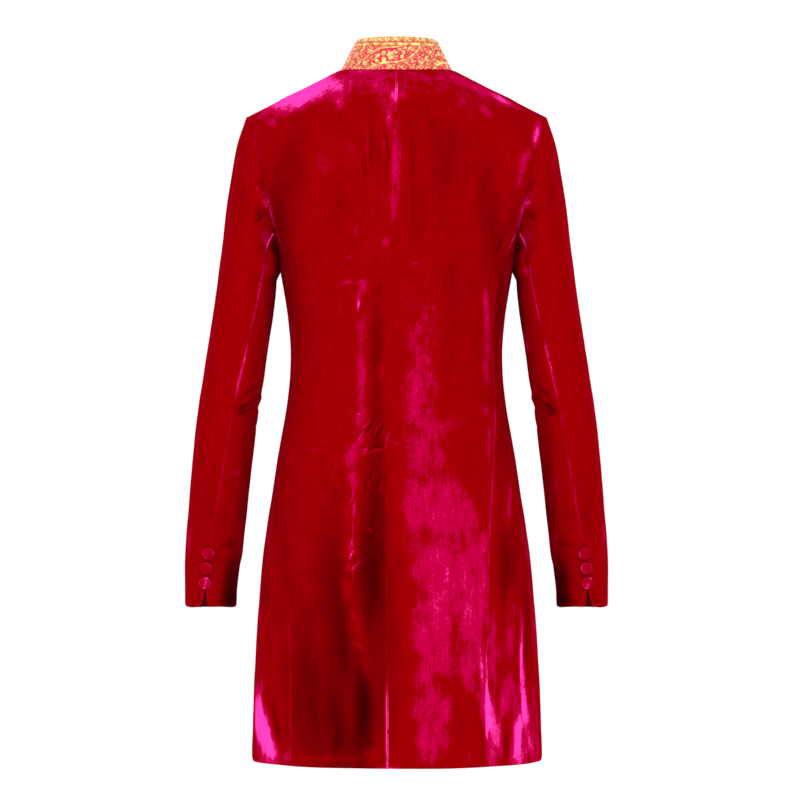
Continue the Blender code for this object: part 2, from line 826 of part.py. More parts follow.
def cuff_button_seat(rows_top, rows_under, z):
    """The middle of the hind seam at height z, just clear of both of the sleeve's pieces."""
    (a, normal_a), (b, normal_b) = on_rows(rows_top, -1, z), on_rows(rows_under, 0, z)
    return (a + b) / 2, (normal_a + normal_b).normalized()


def clear_scene():
    for old in list(bpy.data.objects):
        bpy.data.objects.remove(old)


def main():
    clear_scene()
    jacket = bpy.data.collections.new("velvet_jacket")
    bpy.context.scene.collection.children.link(jacket)
    velvet = material("red_velvet", (0.36, 0.0, 0.008), 0.75)
    brocade = material("gold_brocade", (0.72, 0.36, 0.14), 0.45, 0.2)
    covered = material("velvet_button", (0.52, 0.0, 0.045), 0.7)

    for hand, word in ((1, "left"), (-1, "right")):
        cloth_wall(f"back_{word}", *wall_from(back_panel(hand), VELVET), jacket, velvet)
        cloth_wall(f"side_{word}", *wall_from(side_panel(hand), VELVET), jacket, velvet)
        front = front_panel(hand)
        cloth_wall(f"front_{word}", *wall_from(front, VELVET), jacket, velvet)
        top = sleeve_piece(0, TOP_SLEEVE_COLUMNS, False, hand)
        under = sleeve_piece(TOP_SLEEVE_COLUMNS, TOP_SLEEVE_COLUMNS + SIDE_COLUMNS, True, hand)
        cloth_wall(f"top_sleeve_{word}", *wall_from(top, VELVET), jacket, velvet)
        cloth_wall(f"under_sleeve_{word}", *wall_from(under, VELVET), jacket, velvet)
        for number, z in enumerate(CUFF_BUTTONS, 1):
            seat = cuff_button_seat(top, under, z)
            button(f"cuff_button_{word}_{number}", CUFF_BUTTON_RADIUS, *seat, jacket, covered)
    for number in range(FRONT_BUTTON_COUNT):
        z = FRONT_BUTTON_TOP - number * FRONT_BUTTON_STEP
        seat = on_rows(front, 1, z)
        button(f"front_button_{number + 1}", FRONT_BUTTON_RADIUS, *seat, jacket, covered)
    cloth_wall("collar", *wall_from(collar_grid(), BROCADE), jacket, brocade)


main()
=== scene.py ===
"""A long fitted velvet jacket with a brocade stand collar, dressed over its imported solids."""

import math
from functools import reduce

import bmesh
import bpy
import numpy as np
from bpy.props import FloatProperty, FloatVectorProperty, PointerProperty
from bpy.types import Operator, Panel, PropertyGroup
from mathutils import Matrix, Vector
from mathutils.bvhtree import BVHTree
from mathutils.kdtree import KDTree


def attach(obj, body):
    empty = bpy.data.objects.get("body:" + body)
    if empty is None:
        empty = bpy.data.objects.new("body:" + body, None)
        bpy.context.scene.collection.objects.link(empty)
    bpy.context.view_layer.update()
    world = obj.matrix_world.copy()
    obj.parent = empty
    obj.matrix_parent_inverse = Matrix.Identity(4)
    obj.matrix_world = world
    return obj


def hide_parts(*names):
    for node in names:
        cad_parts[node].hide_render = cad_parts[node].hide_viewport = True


bl_info = {
    "name": "Velvet Jacket",
    "version": (1, 0, 0),
    "blender": (4, 5, 0),
    "location": "3D View > Sidebar > Jacket",
    "description": "Dresses a jacket's packed solids in velvet, brocade and covered buttons",
    "category": "Object",
}

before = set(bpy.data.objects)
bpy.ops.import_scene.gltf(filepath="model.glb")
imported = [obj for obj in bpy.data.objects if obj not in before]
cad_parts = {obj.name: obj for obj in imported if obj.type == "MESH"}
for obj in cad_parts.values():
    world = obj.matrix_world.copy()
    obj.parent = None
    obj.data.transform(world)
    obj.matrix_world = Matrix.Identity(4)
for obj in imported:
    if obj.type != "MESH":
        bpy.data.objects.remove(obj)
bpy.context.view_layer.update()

MM = 0.001
HANDS = ("left", "right")
BUTTONS = [f"cuff_button_{hand}_{k}" for hand in HANDS for k in (1, 2, 3)]
BUTTONS += [f"front_button_{k}" for k in range(1, 8)]

# Reading a packed wall: one point, one face across a bend, one straight edge.
MERGE = 0.00001
FOLD_ANGLE = math.radians(50)
CORNER_STRAIGHTNESS = math.cos(math.radians(38))
SHARP_ANGLE = math.radians(60)
UPRIGHT = 0.75

# The cloth's edge: its narrow cells, how far it is let out, and how far more where it is sewn in.
BORDER_RING = 3.0 * MM
SEAM_REACH = 0.18 * MM
SEWN_IN = 1.4 * MM
COLLAR_SEWN_IN = 1.4 * SEWN_IN
ARMHOLE_FOOT = -0.27
ARMHOLE_NEAR, ARMHOLE_FAR = 2.6 * MM, 4.2 * MM
# Where the painted highlight of a seam's rolled edge lies, and how wide it is.
SEAM_LIGHT, SEAM_LIGHT_WIDTH = 0.9 * MM, 1.0 * MM
FLAT_EDGE, FREE_CLOTH = 0.5 * MM, 6 * MM
COLLAR_DIP, COLLAR_DIP_REACH = 0.9 * MM, 1.3 * MM

# Creases get a painted highlight on one side and painted shade on the other.
CREASE_SHINE = 0.12
CREASE_SHADOW = 0.55
FULL_SHADOW_WIDTH = 2.0
# How strongly painted shade is laid on, and the most painted sheen a point takes.
SHADE_GAIN = 1.2
BRIGHTEST_PAINTED_SHEEN = 1.1

# The sleeve: its lean, the swell where it presses on the body, and the cuff that hangs in front.
SLEEVE_TILT = math.radians(6.6)
UNDERARM_SWELL = 4.0 * MM
UNDERARM_HEIGHT, UNDERARM_REACH = -243, 16
CUFF_TOP, CUFF_FOOT = 0.625, 0.680
FRONT_DROP = 5.0 * MM

# How far apart the pieces' grain is read, so that no two look alike.
GRAIN_SHIFT = 0.37

# How far the collar leans in at the back, the sides and the front, in degrees.
COLLAR_LEANS = (16.0, 28.0, 4.0)
COLLAR_MARKS = 1600

# Painted sheen patches as seen square on, in millimetres and degrees: where the velvet is painted
# magenta and pink as its brushed-up pile shines. Columns: across, height, half width, half height,
# strength in hundredths, crispness and lean, which are 1.2 and 0 where they are left out.
BACK_PAINTED_SHEEN = (
    (24,-26,26,12,36,1.4), (-45,-28,44,14,24,1.4,14), (14,-38,12,20,42,1.4), (-8,-30,9,16,36),
    (-33,-740,16,44,36,1.4), (117,-29,15,56.1,100,2,-64), (108,-38,12,50,85,1.6,-64),
    (-64,-52,62,26,20,1.2,20), (44,-6,16,9,60,1.4), (14,-12,20,9,42,1.4), (-26,-14,24,10,26,1.4),
    (75,-26,17.1,14.6,80,1.2,-50), (71,-46,6.1,9.8,55,1,20), (45,-22,19.5,9.8,35,1),
    (57,-24,3,17.1,50,1), (5,-39,5.5,9.8,75,1.3), (9,-73,4.3,18.3,55), (1,-28,6.1,12.2,35,1),
    (1,-125,5.5,63.4,40,1.5,-1.5), (4,-174,4.9,19.5,40), (-41,-17,26.8,6.1,45,1),
    (-94,-23,10,44,56,1.4,64), (-131,-40,6,20,80,1.2,62), (-109,-53,6.1,8.5,40,1,30),
    (-35,-83,8.5,14.6,18,1,10), (75,-125,26.8,34.2,12,1), (154,-68,9.8,6.1,50,1,-64),
    (-173,-84,5.5,17.1,85,1.5,-12), (-163,-107,4.9,24.4,40,1.2,-24), (-154,-134,3.7,19.5,25,1,-18),
    (12,-220,4.3,4.9,30,1.3), (41,-272,4.3,8.5,50,1.2,10), (46,-290,2.2,12.2,60,1.3,-8),
    (45,-327,8.8,24.4,25,1.2,-4), (45,-369,8,24.4,25), (44,-402,8,19.5,31),
    (46,-434,9,17.1,28,1.2,-6), (49,-467,9.8,19.5,37,1.3,-6), (54,-488,9.8,17.1,44,1.3),
    (53,-510,8.5,17.1,44,1.2,4), (55,-552,9.5,26.8,42,1), (57,-593,9,19.5,48,1),
    (56,-615,6.1,6.1,52,1.3,30), (60,-641,8,20,34,1), (45,-693,12,38,30,1,12),
    (37,-729,8,28,28,1,8), (65,-766,9.8,36.6,15,1,8), (19,-378,4.3,9.8,42),
    (-34,-327,19.5,54.9,22,1.3), (-30,-406,22,48.8,34,1.6), (-34,-473,24.4,41.5,39,1.8),
    (-62,-442,17.1,12.2,15,1,30), (-43,-540,34.2,41.5,42,2,-4), (-19,-558,9.8,48.8,42,1.6),
    (-71,-544,22,34.2,42,1.5), (-92,-583,12.2,41.5,42,1.5,4), (-59,-619,43.9,41.5,49,2.2),
    (-53,-668,39,41.5,46,2), (-64,-742,12,26,36,1.3,24), (-88,-738,9,32,40,1.3),
    (-90,-656,19.5,73.2,46,2), (-41,-705,29.3,36.6,44,1.6,10), (-71,-723,26.8,26.8,42,1.5,30),
    (-32,-784,17.1,36.6,45,1.4,-4), (-41,-821,22,26.8,50,1.4,-10), (-62,-784,14.6,31.7,30,1.2,-30),
    (-110,-290,3.7,19.5,60), (-112,-327,4.3,36.6,50,1.4), (-109,-369,4.9,22,35),
    (-110,-427,4.9,9.8,40), (-114,-461,2.4,48.8,35), (-106,-589,6.1,19.5,60),
    (-107,-626,3.7,24.4,55,1.4), (-104,-741,3.7,31.7,75,1.4,4), (-101,-717,7.3,24.4,50),
    (-106,-796,4.9,34.2,60,1.2,10), (-140,-532,2.4,19.5,60,1.2,-2), (-138,-552,6.1,19.5,38),
    (-119,-705,6.1,73.2,35,1.4), (-118,-808,9.8,48.8,85,2,14), (-120,-840,8.5,28,72,2),
    (-152,-838,12,30,70,2), (-141,-690,11,52,42,1.6), (-146,-800,20,60,36,1.6),
    (-124,-690,9,66,32,1.5), (151.4,-186,1.3,24,45,1.2,14), (-151.4,-186,1.3,22,40,1.2,-14),
    (-112,-778,3.7,36.6,60,1.3,12), (-137,-705,7.3,29.3,45,1.2,-6), (-135,-766,8.5,41.5,50,1.2,-6),
    (-152,-723,3,51.2,95,1.4,-1), (-156,-778,6.1,48.8,90,1.6,6), (-149,-821,9.8,41.5,85,1.8,-8),
    (-164,-827,4.9,31.7,60,1.3,10), (-171,-808,4.9,54.9,35,1.2,4), (169,-802,7.3,41.5,90,1.8),
    (163,-822,12.5,46,95,2,10), (152,-841,8.5,22,80,1.6,10), (137,-849,8.5,9.8,45),
    (165,-766,2.4,14.6,60,1.2,4), (163,-683,7.3,24.4,28,1), (153,-688,2,7.3,45),
    (157,-717,9.8,36.6,15,1), (154,-607,9.8,36.6,12,1,6), (81,-848,41.5,3,22,1,2),
    (30,-841,9.8,7.3,20,1),
)
# The same columns: painted shade, where the pile faces away from the light.
BACK_SHADE = (
    (-70,-684,8,18,32,1.3), (40,-690,42,190,32,1.6), (62,-800,40,72,24,1.5), (24,-330,10,60,28),
    (12,-105,3,40,32), (30,-95,2.5,45,30), (22,-135,3,50,24), (40,-120,2.5,36,24,1.2,2),
    (-82,-722,11,22,38,1.3), (80,-720,90,190,16,1.6), (-136,-640,15,100,40,1.6),
    (-20,-760,8,90,12), (25,-412,9.8,73.2,25,1.3), (23,-497,14.6,73.2,27,1.4),
    (27,-583,15.9,64,30,1.4), (30,-656,19,64,24,1.3), (45,-729,26,80,22,1.3,6),
    (25,-778,12.2,73.2,6,1.3), (63,-815,31.7,48.8,20,1.3), (81,-644,22,109.8,20),
    (118,-766,17.1,85.4,28), (93,-778,12.2,85.4,30), (164,-644,7.3,73.2,30,1.2,4),
    (142,-583,9.8,73.2,15,1.2,4), (136,-290,19.5,109.8,28), (148,-180,17.1,85.4,30,1.2,-6),
    (120,-119,12.2,61,25), (-29,-58,24.4,48.8,20), (-59,-107,24.4,73.2,25),
    (-112,-174,17.1,73.2,30,1.2,6), (-24,-186,9.8,36.6,20), (-19,-119,6.1,48.8,20),
    (-71,-290,24.4,97.6,15), (-129,-314,11,97.6,35), (-136,-449,12.2,73.2,20,1.2,-8),
    (-126,-656,9.8,36.6,25), (-160,-693,7.3,73.2,30), (-85,-497,9.8,36.6,15),
    (-77,-597,12.2,4.9,30,1), (-71,-686,6.1,12.2,30), (-80,-778,17.1,41.5,25,1.2,12),
    (-62,-589,7.3,6.1,20,1), (-123,-833,3.7,31.7,50,1.4), (-131,-837,4.9,36.6,75,1.5,-2),
    (146,-821,4.9,36.6,30,1.2,10), (71,-180,14.6,61,15),
)
# The same columns: painted sheen on the sleeves.
SLEEVE_PAINTED_SHEEN = (
    (166,-160,4.9,6.2,60), (161,-170,4.9,6.2,70,1.2,20), (170,-153,3.7,4.9,40),
    (160,-209,7.4,11.1,40,1.1,-20), (164,-249,4.9,8.6,18,1.1), (153,-237,4.9,9.9,25,1.1),
    (153.4,-187,1.7,27,85,1.2,14), (161,-345,3.7,7.4,50,1.2,-6), (181,-414,3.7,16.1,16,1.1,62),
    (197,-511,4.9,27.2,16,1.1,-4), (196,-597,6.2,29.6,25,1.1), (259,-585,2.6,17.3,32),
    (166,-192,9.9,4.9,15,1.1,20),
)
# The same columns: painted shade on the sleeves.
SLEEVE_SHADE = (
    (166,-184,11.1,12.4,35,1.1), (166,-148,6.2,12.4,30,1.1), (151,-233,7.4,32.1,65,1.3),
    (146,-276,7.4,37.1,65,1.3,2), (153,-326,6.2,37.1,50,1.3,4), (159,-375,6.2,32.1,40,1.3,6),
    (190,-429,4.9,14.8,25,1.1,60), (181,-461,11.1,29.6,20,1.2,6), (186,-511,7.4,37.1,30,1.2,6),
    (190,-560,7.4,29.6,30,1.2,6), (192,-650,12,48,98,1.8,4), (206,-648,12,38,60,1.5,4),
    (208,-664,17.3,12.4,40), (203,-591,8.6,6.2,30,1.1,-60), (233,-548,14.8,61.8,15),
    (190,-160,7.4,17.3,15,1.1),
)
# Creases from end to end: across and height twice, width, depth in hundredths of a millimetre,
# bow, and painted highlight in hundredths.
BACK_CREASES = (
    (130,-242,108,-234,1.6,-35,1.5,20), (108,-234,91,-230,1.4,-30,-1,10),
    (63,-238,54,-233,1.4,35,1.5,30), (71,-251,59,-244,1.5,40,-1.5,25),
    (69,-270,53,-267,1.5,45,-2,35), (54,-269,40,-263,1.6,40,1,25), (43,-292,47,-305,1.8,50,0.6,50),
    (69,-227,62,-217,1.5,-30,1,10), (57,-231,47,-220,1.6,-35,1,15), (54,-211,49,-195,1.8,-40,1,10),
    (42,-207,37,-185,2,-40,-1,10), (32,-195,30,-173,1.8,-35,1,10), (52,-178,54,-197,1.6,30,1,10),
    (14,-95,12,-109,1.6,40,1,30), (9,-107,13,-124,1.5,-40,1,20), (42,-107,41,-144,2,-30,0.5),
    (35,-83,34,-131,2,-30,-0.5), (-8,-89,-7,-125,1.8,-35,0.5), (-15,-95,-14,-134,1.8,-30,-0.5),
    (48,-427,42,-429,1.6,50,1,50), (43,-446,32,-435,1.6,50,1,30), (40,-456,23,-434,1.7,60,0.8,25),
    (45,-461,27,-444,1.7,-50,0.8), (30,-456,18,-436,1.7,50,-0.8,20), (25,-461,13,-439,1.7,-50,0.8),
    (49,-461,40,-449,1.8,50,0.5,40), (43,-473,35,-469,1.6,55,1.5,70),
    (43,-479,35,-475,1.5,50,-1,50), (35,-477,15,-472,1.7,50,-3,35), (15,-475,10,-449,1.6,45,-1,35),
    (10,-461,-9,-468,1.8,35,-1.5,15), (-9,-468,-21,-468,1.8,30,0,10),
    (106,-471,79,-471,1.8,30,1,5), (81,-490,74,-478,1.8,35,1,5), (81,-507,74,-488,1.8,35,-1,5),
    (74,-534,70,-519,1.8,40,0.5,10), (69,-546,63,-527,1.8,40,-0.5,10),
    (58,-540,53,-519,1.7,50,0.8,30), (53,-558,51,-534,1.7,50,-0.8,30),
    (56,-593,53,-558,1.7,50,0.8,35), (51,-589,48,-552,1.7,-45,0.8), (58,-607,52,-593,1.7,50,-1,40),
    (57,-619,45,-605,1.7,55,1,50), (64,-617,57,-615,1.6,40,0.5,30),
    (54,-632,53,-617,1.6,40,-0.5,30), (32,-510,27,-497,1.6,40,0.5,10),
    (37,-534,34,-507,1.7,40,-0.5,10), (23,-524,19,-507,1.6,35,0.5,10),
    (35,-566,29,-573,1.6,40,-0.8,20), (118,-568,96,-567,1.8,25,0.5,5),
    (54,-668,49,-678,1.7,35,-0.5,25), (49,-705,37,-712,2,35,1,20), (-16,-244,-31,-242,2,20,0.5,5),
    (-123,-235,-135,-207,2.2,-40,0.5), (-113,-290,-120,-253,2,-40,0.5),
    (-152,-766,-152,-674,4,120), (-143,-854,-149,-766,6,140), (-126,-859,-125,-766,5,-160),
    (-114,-854,-108,-754,5,100), (-160,-854,-158,-754,5,-100), (154,-859,162,-766,6,120),
    (142,-859,149,-778,5,-120), (63,-859,54,-607,12,-100), (30,-859,30,-656,10,-120),
    (-41,-859,-43,-558,14,100), (-81,-859,-77,-656,10,-80), (45,-436,45,-278,5,60),
    (93,-859,98,-656,12,80),
)
SLEEVE_CREASES = (
    (197,-427,168,-412,2,70,-1.5,-2), (247,-646,237,-641,1.6,-60,0.8),
    (193,-426,165,-407,3,120,-1.5,10), (196,-434,166,-419,3.2,-120,-1.5),
    (193,-417,169,-397,3.4,-100,-1.5), (178,-447,161,-437,3,-50,1), (203,-469,186,-464,2.6,-40,1),
    (203,-496,188,-500,2.4,35,1), (216,-560,201,-555,2.4,-40,1), (218,-585,193,-580,2.6,50,1.5),
    (220,-595,196,-590,2.6,-60,1.5), (248,-654,238,-649,1.6,-60,0.8),
    (251,-660,240,-657,1.6,-60,0.6), (254,-666,243,-663,1.6,-60,0.6),
    (249,-658,239,-653,1.4,40,0.6), (253,-664,241,-660,1.4,40,0.6),
    (171,-160,164,-153,1.8,80,0.6,20), (167,-169,159,-160,1.8,90,-0.6,30),
    (171,-165,162,-158,1.8,-80,0.6), (161,-180,154,-172,1.8,80,0.6,30),
    (174,-195,164,-188,2,-50,0.6), (203,-153,198,-123,3,-50,1), (190,-165,186,-128,3,-50,1),
    (196,-160,192,-125,3,40,1), (196,-610,198,-659,5,-120),
)
# Patches again: painted highlights where the rolled edge of a seam catches the light.
SEAM_PAINTED_HIGHLIGHT = (
    (176,-95,9.8,31.7,40,2,15), (157,-186,14.6,41.5,95,2,10), (-152,-195,14.6,36.6,95,2,-10),
    (10,-812,17.1,66,100,3), (8,-583,17.1,195.2,12,3), (4,-34,17.1,26.8,60,2),
    (-112,-497,17.1,207.4,40,3), (-108,-766,17.1,73.2,70,3), (123,-766,17.1,109.8,35,3),
    (-114,-290,14.6,48.8,45,2), (175,-821,7.3,48.8,90,3), (-176,-808,7.3,54.9,80,3),
)
ARM_SEAM_PAINTED_HIGHLIGHT = (
    (159,-227,17.3,37.1,50,2), (171,-288,24.7,61.8,60,3,12), (192,-375,19.8,49.4,75,3,10),
    (203,-449,19.8,49.4,20,3,8), (217,-523,19.8,49.4,42,3,8), (225,-573,17.3,24.7,35,2,8),
    (235,-659,14.8,17.3,22,3),
)
# Hidden sides, guessed alike, in painted sheen and painted shade: the fronts and the outer sides
# of the sleeves.
FRONT_PAINTED_SHEEN = (
    (116,-29,12,50,92,1.8,-64), (100,-44,14,34,50,1.4,-58), (82,-38,12,50,90,2,-64),
    (-70,-34,10,44,55,1.4,64), (60,-150,24,60,30,1.3,6), (-52,-240,16,70,35,1.3,-4),
    (46,-370,14,60,40,1.3,3), (-70,-430,26,70,45,1.5,-5), (-58,-560,30,80,50,1.8),
    (38,-610,18,90,30,1.2,2), (110,-640,14,90,35,1.2,-4), (-95,-700,26,70,50,1.6,4),
    (-140,-780,14,70,80,1.8,4), (132,-790,12,60,85,1.8,-6), (70,-800,20,50,40,1.4),
    (-30,-770,12,60,30), (-110,-200,10,26,35,1.2,-10), (112,-255,10,34,30,1.2,8),
)
# The same columns: painted shade on the fronts.
FRONT_SHADE = (
    (95,-180,24,90,30), (-95,-330,20,90,30), (20,-480,18,120,35), (90,-540,22,100,30),
    (-25,-640,14,110,35), (30,-720,16,90,30), (-60,-110,26,50,20),
)
# The same columns: painted sheen on the sides.
SIDE_PAINTED_SHEEN = (
    (20,-330,12,60,25), (-35,-520,14,80,35,1.3), (30,-640,16,90,30,1.3), (-20,-760,18,80,50,1.4,4),
    (-8,-130,16,50,30), (12,-250,12,60,25), (-12,-420,12,70,25,1.2,-4),
)
FRONT_CREASES = (
    (30,-330,44,-318,1.8,50,1,20), (36,-345,52,-330,1.8,-50,1), (-30,-352,-46,-344,1.8,50,1,25),
    (-28,-366,-50,-362,1.8,45,-1.5,20), (-60,-380,-70,-360,1.7,-50,1),
    (58,-470,62,-440,1.7,50,-0.8,30), (64,-500,66,-465,1.7,50,0.8,30),
    (-44,-520,-48,-490,1.8,45,0.8,20), (-80,-300,-88,-270,2.2,-40,0.5),
    (86,-300,94,-268,2.2,-40,0.5), (60,-855,56,-600,12,100), (-66,-855,-60,-620,12,-100),
    (100,-855,92,-640,10,-100), (-118,-855,-108,-680,8,120), (24,-855,24,-560,12,-80),
)
# The same columns: painted seam highlights on the fronts.
FRONT_SEAM_PAINTED_HIGHLIGHT = (
    (150,-200,16,50,80,2,8), (-150,-200,16,50,80,2,-8), (-9,-500,14,380,35,3),
    (-130,-720,20,120,50,3), (130,-760,20,100,40,3),
)
# Slow unevenness of hanging cloth: wave length across and down, height, phase, in millimetres.
RIPPLES = ((61, 310, 0.45, 0.3), (37, 190, 0.25, 1.9), (23, 118, 0.14, 4.1), (140, 83, 0.18, 2.7))

# Each cloth's cut width, length and area, in metres, without seam allowance.
SHEETS = {
    "back_left": (0.205, 0.875, 0.130),
    "back_right": (0.205, 0.875, 0.130),
    "side_left": (0.185, 0.665, 0.102),
    "side_right": (0.200, 0.665, 0.113),
    "front_left": (0.215, 0.875, 0.135),
    "front_right": (0.215, 0.875, 0.135),
    "top_sleeve_left": (0.200, 0.640, 0.100),
    "top_sleeve_right": (0.200, 0.640, 0.100),
    "under_sleeve_left": (0.125, 0.480, 0.0475),
    "under_sleeve_right": (0.125, 0.480, 0.0475),
    "collar": (0.390, 0.044, 0.016),
}

# One repeat of the brocade, in millimetres: bands of vine climb the collar in long waves.
REPEAT = 86.7
RISE = 41.3
WAVE = 6.0
WAVE_START = 33.0
BAND_START = (3.5, 15.5)
# Vines and cords of a band: middle and half width.
VINES = ((0.9, 1.1), (RISE - 0.5, 0.5), (20.6, 1.1), (23.0, 0.35), (38.6, 0.35))
# Where the small leaves keep clear of them: middle, half width and share.
CLEARINGS = ((0.9, 2.6, 0.8), (21.2, 3.4, 1.0), (39.6, 2.0, 1.0))
# Leaves and petals: along, up, half length, half width, and turn in degrees.
LEAVES = (
    (-38.5,2.2,3.6,1.4,70), (-34.5,-1,4.2,1.7,15), (-34.5,-7.2,3.8,1.4,-15),
    (-29.5,3.6,4.4,2.3,40), (-29,-3.6,4.4,2.3,-25), (-21.5,7.4,4.2,3.5,40),
    (-20.5,-0.9,4.2,3.6,-35), (-5,9,4.2,1.6,-32), (-4.4,3,3.6,1.4,15), (0.5,12.4,4,1.6,15),
    (4,2.6,3.4,2.7,30), (7,8.4,3.4,1.3,50), (8.4,14.4,3.8,2.1,10), (12.5,9.6,3.6,1.4,70),
    (16,14.6,3.8,1.4,30), (20.5,12.6,3.6,1.4,75), (23,19,3.8,1.5,45), (30.5,24.4,3.6,1.5,35),
    (35,29,3.2,1.3,50), (4,30.4,3.4,1.4,30), (17.5,37.5,3.2,1.3,30),
)
# Small leaves that fill the ground: turn in degrees, and how many to a millimetre.
FILL_TURN = -32
FILL_SCALE = (0.155, 0.33, 1)
# Flowers: along, up, radius and half the number of petals.
BLOOMS = (
    (-11.5,4.6,5.6,3), (40.6,36,4.4,3), (-41,9,3.4,3), (28,36,3.2,2.5), (-12,31.5,3,2.5),
)
# The border under the collar's upper edge, and the length of one scallop.
COLLAR_RISE = 42.2
SCALLOP = 8.8

# A covered button's profile: out from its middle in radii, and up in heights of its dome.
BUTTON_PROFILE = (
    (0,0.93), (0.35,0.93), (0.62,0.91), (0.76,0.9), (0.85,0.99), (0.93,0.97), (0.99,0.78),
    (1,0.56), (0.95,0.36), (0.8,0.24), (0.3,0.22), (0.29,0), (0,0),
)

# The studio: the bowl's curve and wall, each lamp's place and share, and the camera.
BOWL, WALL = 2.5, 4.0
LAMP_SIZE = 2.2
LAMPS = {
    "key": ((-1.6, 3.2, 1.6), 1.0),
    "fill": ((2.4, 3.0, 0.4), 0.6),
    "front_key": ((1.8, -3.2, 1.6), 0.9),
    "front_fill": ((-2.4, -3.0, 0.4), 0.5),
}
LAMP_AIM = Vector((0.0, 0.0, -0.42))
LENS, SENSOR = 151.2, 36.0
EYE = (-0.0044, 4.2, -0.412)


def sized(name, description, default):
    return FloatProperty(name=name, description=description, default=default, unit="LENGTH")


def dyed(name, description, default):
    return FloatVectorProperty(
        name=name, description=description, default=default, subtype="COLOR", size=3,
    )


class JacketCloth(PropertyGroup):
    velvet_wall: sized("Velvet thickness", "Thickness of one cloth with its pile", 1.6 * MM)
    brocade_wall: sized("Brocade thickness", "Thickness of the stiffened collar", 2.6 * MM)
    crease_depth: FloatProperty(
        name="Crease depth", description="Share of the listed depth that each crease gets",
        default=1.6, min=0.0, max=3.0, subtype="FACTOR",
    )
    seam_dip: sized("Seam dip", "How far the cloth rolls in at a seam or a folded edge", 0.8 * MM)
    seam_reach: sized("Seam reach", "How far from its edge the cloth rolls in", 1.5 * MM)
    crimson: dyed("Crimson", "Velvet with its pile lying down", (0.21, 0.0, 0.0008))
    # Shade is the colour of painted shade; magenta and pink are the colours of painted sheen.
    shade: dyed("Shade", "Velvet with its pile facing away from the light", (0.045, 0.0, 0.0004))
    magenta: dyed("Magenta", "Velvet with its pile half brushed up", (0.35, 0.0, 0.038))
    pink: dyed("Pink", "Velvet with its pile brushed right up", (0.86, 0.035, 0.34))


class JacketTrim(PropertyGroup):
    silk: dyed("Silk", "Ground of the brocade", (0.62, 0.0, 0.065))
    gold: dyed("Gold thread", "Metal thread of the brocade", (0.43, 0.24, 0.06))
    dome: sized("Button dome", "How far a button's face stands off the cloth", 4.6 * MM)


class JacketStudio(PropertyGroup):
    floor: sized("Floor height", "Height of the floor below the collar seam", -1.5)
    reach: sized("Backdrop reach", "Distance of the backdrop from the jacket", 8.0)
    daylight: FloatProperty(
        name="Daylight", description="Strength of the even light from all round",
        default=1.0, min=0.0,
    )
    lamp: FloatProperty(
        name="Lamp", description="Power of the large lamp on the camera's side",
        default=90.0, min=0.0, unit="POWER",
    )


GROUPS = {"jacket_cloth": JacketCloth, "jacket_trim": JacketTrim, "jacket_studio": JacketStudio}


def settings():
    return [getattr(bpy.context.scene, name) for name in GROUPS]


# Cloth


def outer_face(node):
    """The outer face of a packed cloth wall, as quads that are open at the cloth's edge."""
    work = bmesh.new()
    work.from_mesh(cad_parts[node].data)
    bmesh.ops.remove_doubles(work, verts=work.verts, dist=MERGE)
    left = set(work.faces)
    widest, widest_area = set(), 0.0
    while left:
        region, front = set(), [left.pop()]
        while front:
            face = front.pop()
            region.add(face)
            for edge in face.edges:
                if edge.calc_face_angle(math.pi) > FOLD_ANGLE:
                    continue
                for near in edge.link_faces:
                    if near in left:
                        left.remove(near)
                        front.append(near)
        area = sum(face.calc_area() for face in region)
        if area > widest_area:
            widest, widest_area = region, area
    spare = [face for face in work.faces if face not in widest]
    bmesh.ops.delete(work, geom=spare, context="FACES")
    bmesh.ops.join_triangles(
        work, faces=work.faces, angle_face_threshold=math.pi,
        angle_shape_threshold=math.pi, topology_influence=2.0,
    )
    return work


def spun(profile, steps):
    """The shape that a profile of radii and heights makes when it is turned about Z."""
    work = bmesh.new()
    points = [work.verts.new((x, 0.0, z)) for x, z in profile]
    lines = [work.edges.new(pair) for pair in zip(points, points[1:])]
    bmesh.ops.spin(
        work, geom=points + lines, cent=(0, 0, 0), axis=(0, 0, 1), dvec=(0, 0, 0),
        angle=math.tau, steps=steps, use_merge=True,
    )
    bmesh.ops.remove_doubles(work, verts=work.verts, dist=MERGE)
    bmesh.ops.recalc_face_normals(work, faces=work.faces)
    return work


def as_object(name, work):
    mesh = bpy.data.meshes.new(name)
    work.to_mesh(mesh)
    work.free()
    made = bpy.data.objects.new(name, mesh)
    bpy.context.scene.collection.objects.link(made)
    return made


def settle(made):
    """Puts what the modifiers make in place of the piece's mesh."""
    bpy.context.view_layer.update()
    shaped = made.evaluated_get(bpy.context.evaluated_depsgraph_get())
    mesh = bpy.data.meshes.new_from_object(shaped)
    made.modifiers.clear()
    old, made.data = made.data, mesh
    bpy.data.meshes.remove(old)
    mesh.name = made.name


def rounded(made, levels):
    """Rounds the piece off with its corners kept."""
    sub = made.modifiers.new("round", "SUBSURF")
    sub.levels = sub.render_levels = levels
    sub.boundary_smooth = "PRESERVE_CORNERS"
    settle(made)


def remesh(made, change, *arguments):
    work = bmesh.new()
    work.from_mesh(made.data)
    change(work, *arguments)
    work.to_mesh(made.data)
    work.free()


def firm_corners(work):
    """Marks the points where the cloth's edge turns a corner, to be kept when it is rounded."""
    firm = work.verts.layers.float.get("crease_vert") or work.verts.layers.float.new("crease_vert")
    for vert in work.verts:
        rim = [edge for edge in vert.link_edges if edge.is_boundary]
        vert[firm] = 0.0
        if len(rim) == 2:
            first, second = ((edge.other_vert(vert).co - vert.co).normalized() for edge in rim)
            if first.dot(second) > -CORNER_STRAIGHTNESS:
                vert[firm] = 1.0


def ringed(work):
    """Narrow cells along the cloth's edge, which take the roll of the seam, and firm corners."""
    firm_corners(work)
    bmesh.ops.inset_region(
        work, faces=work.faces, use_boundary=True, use_even_offset=True,
        use_interpolate=True, thickness=BORDER_RING,
    )


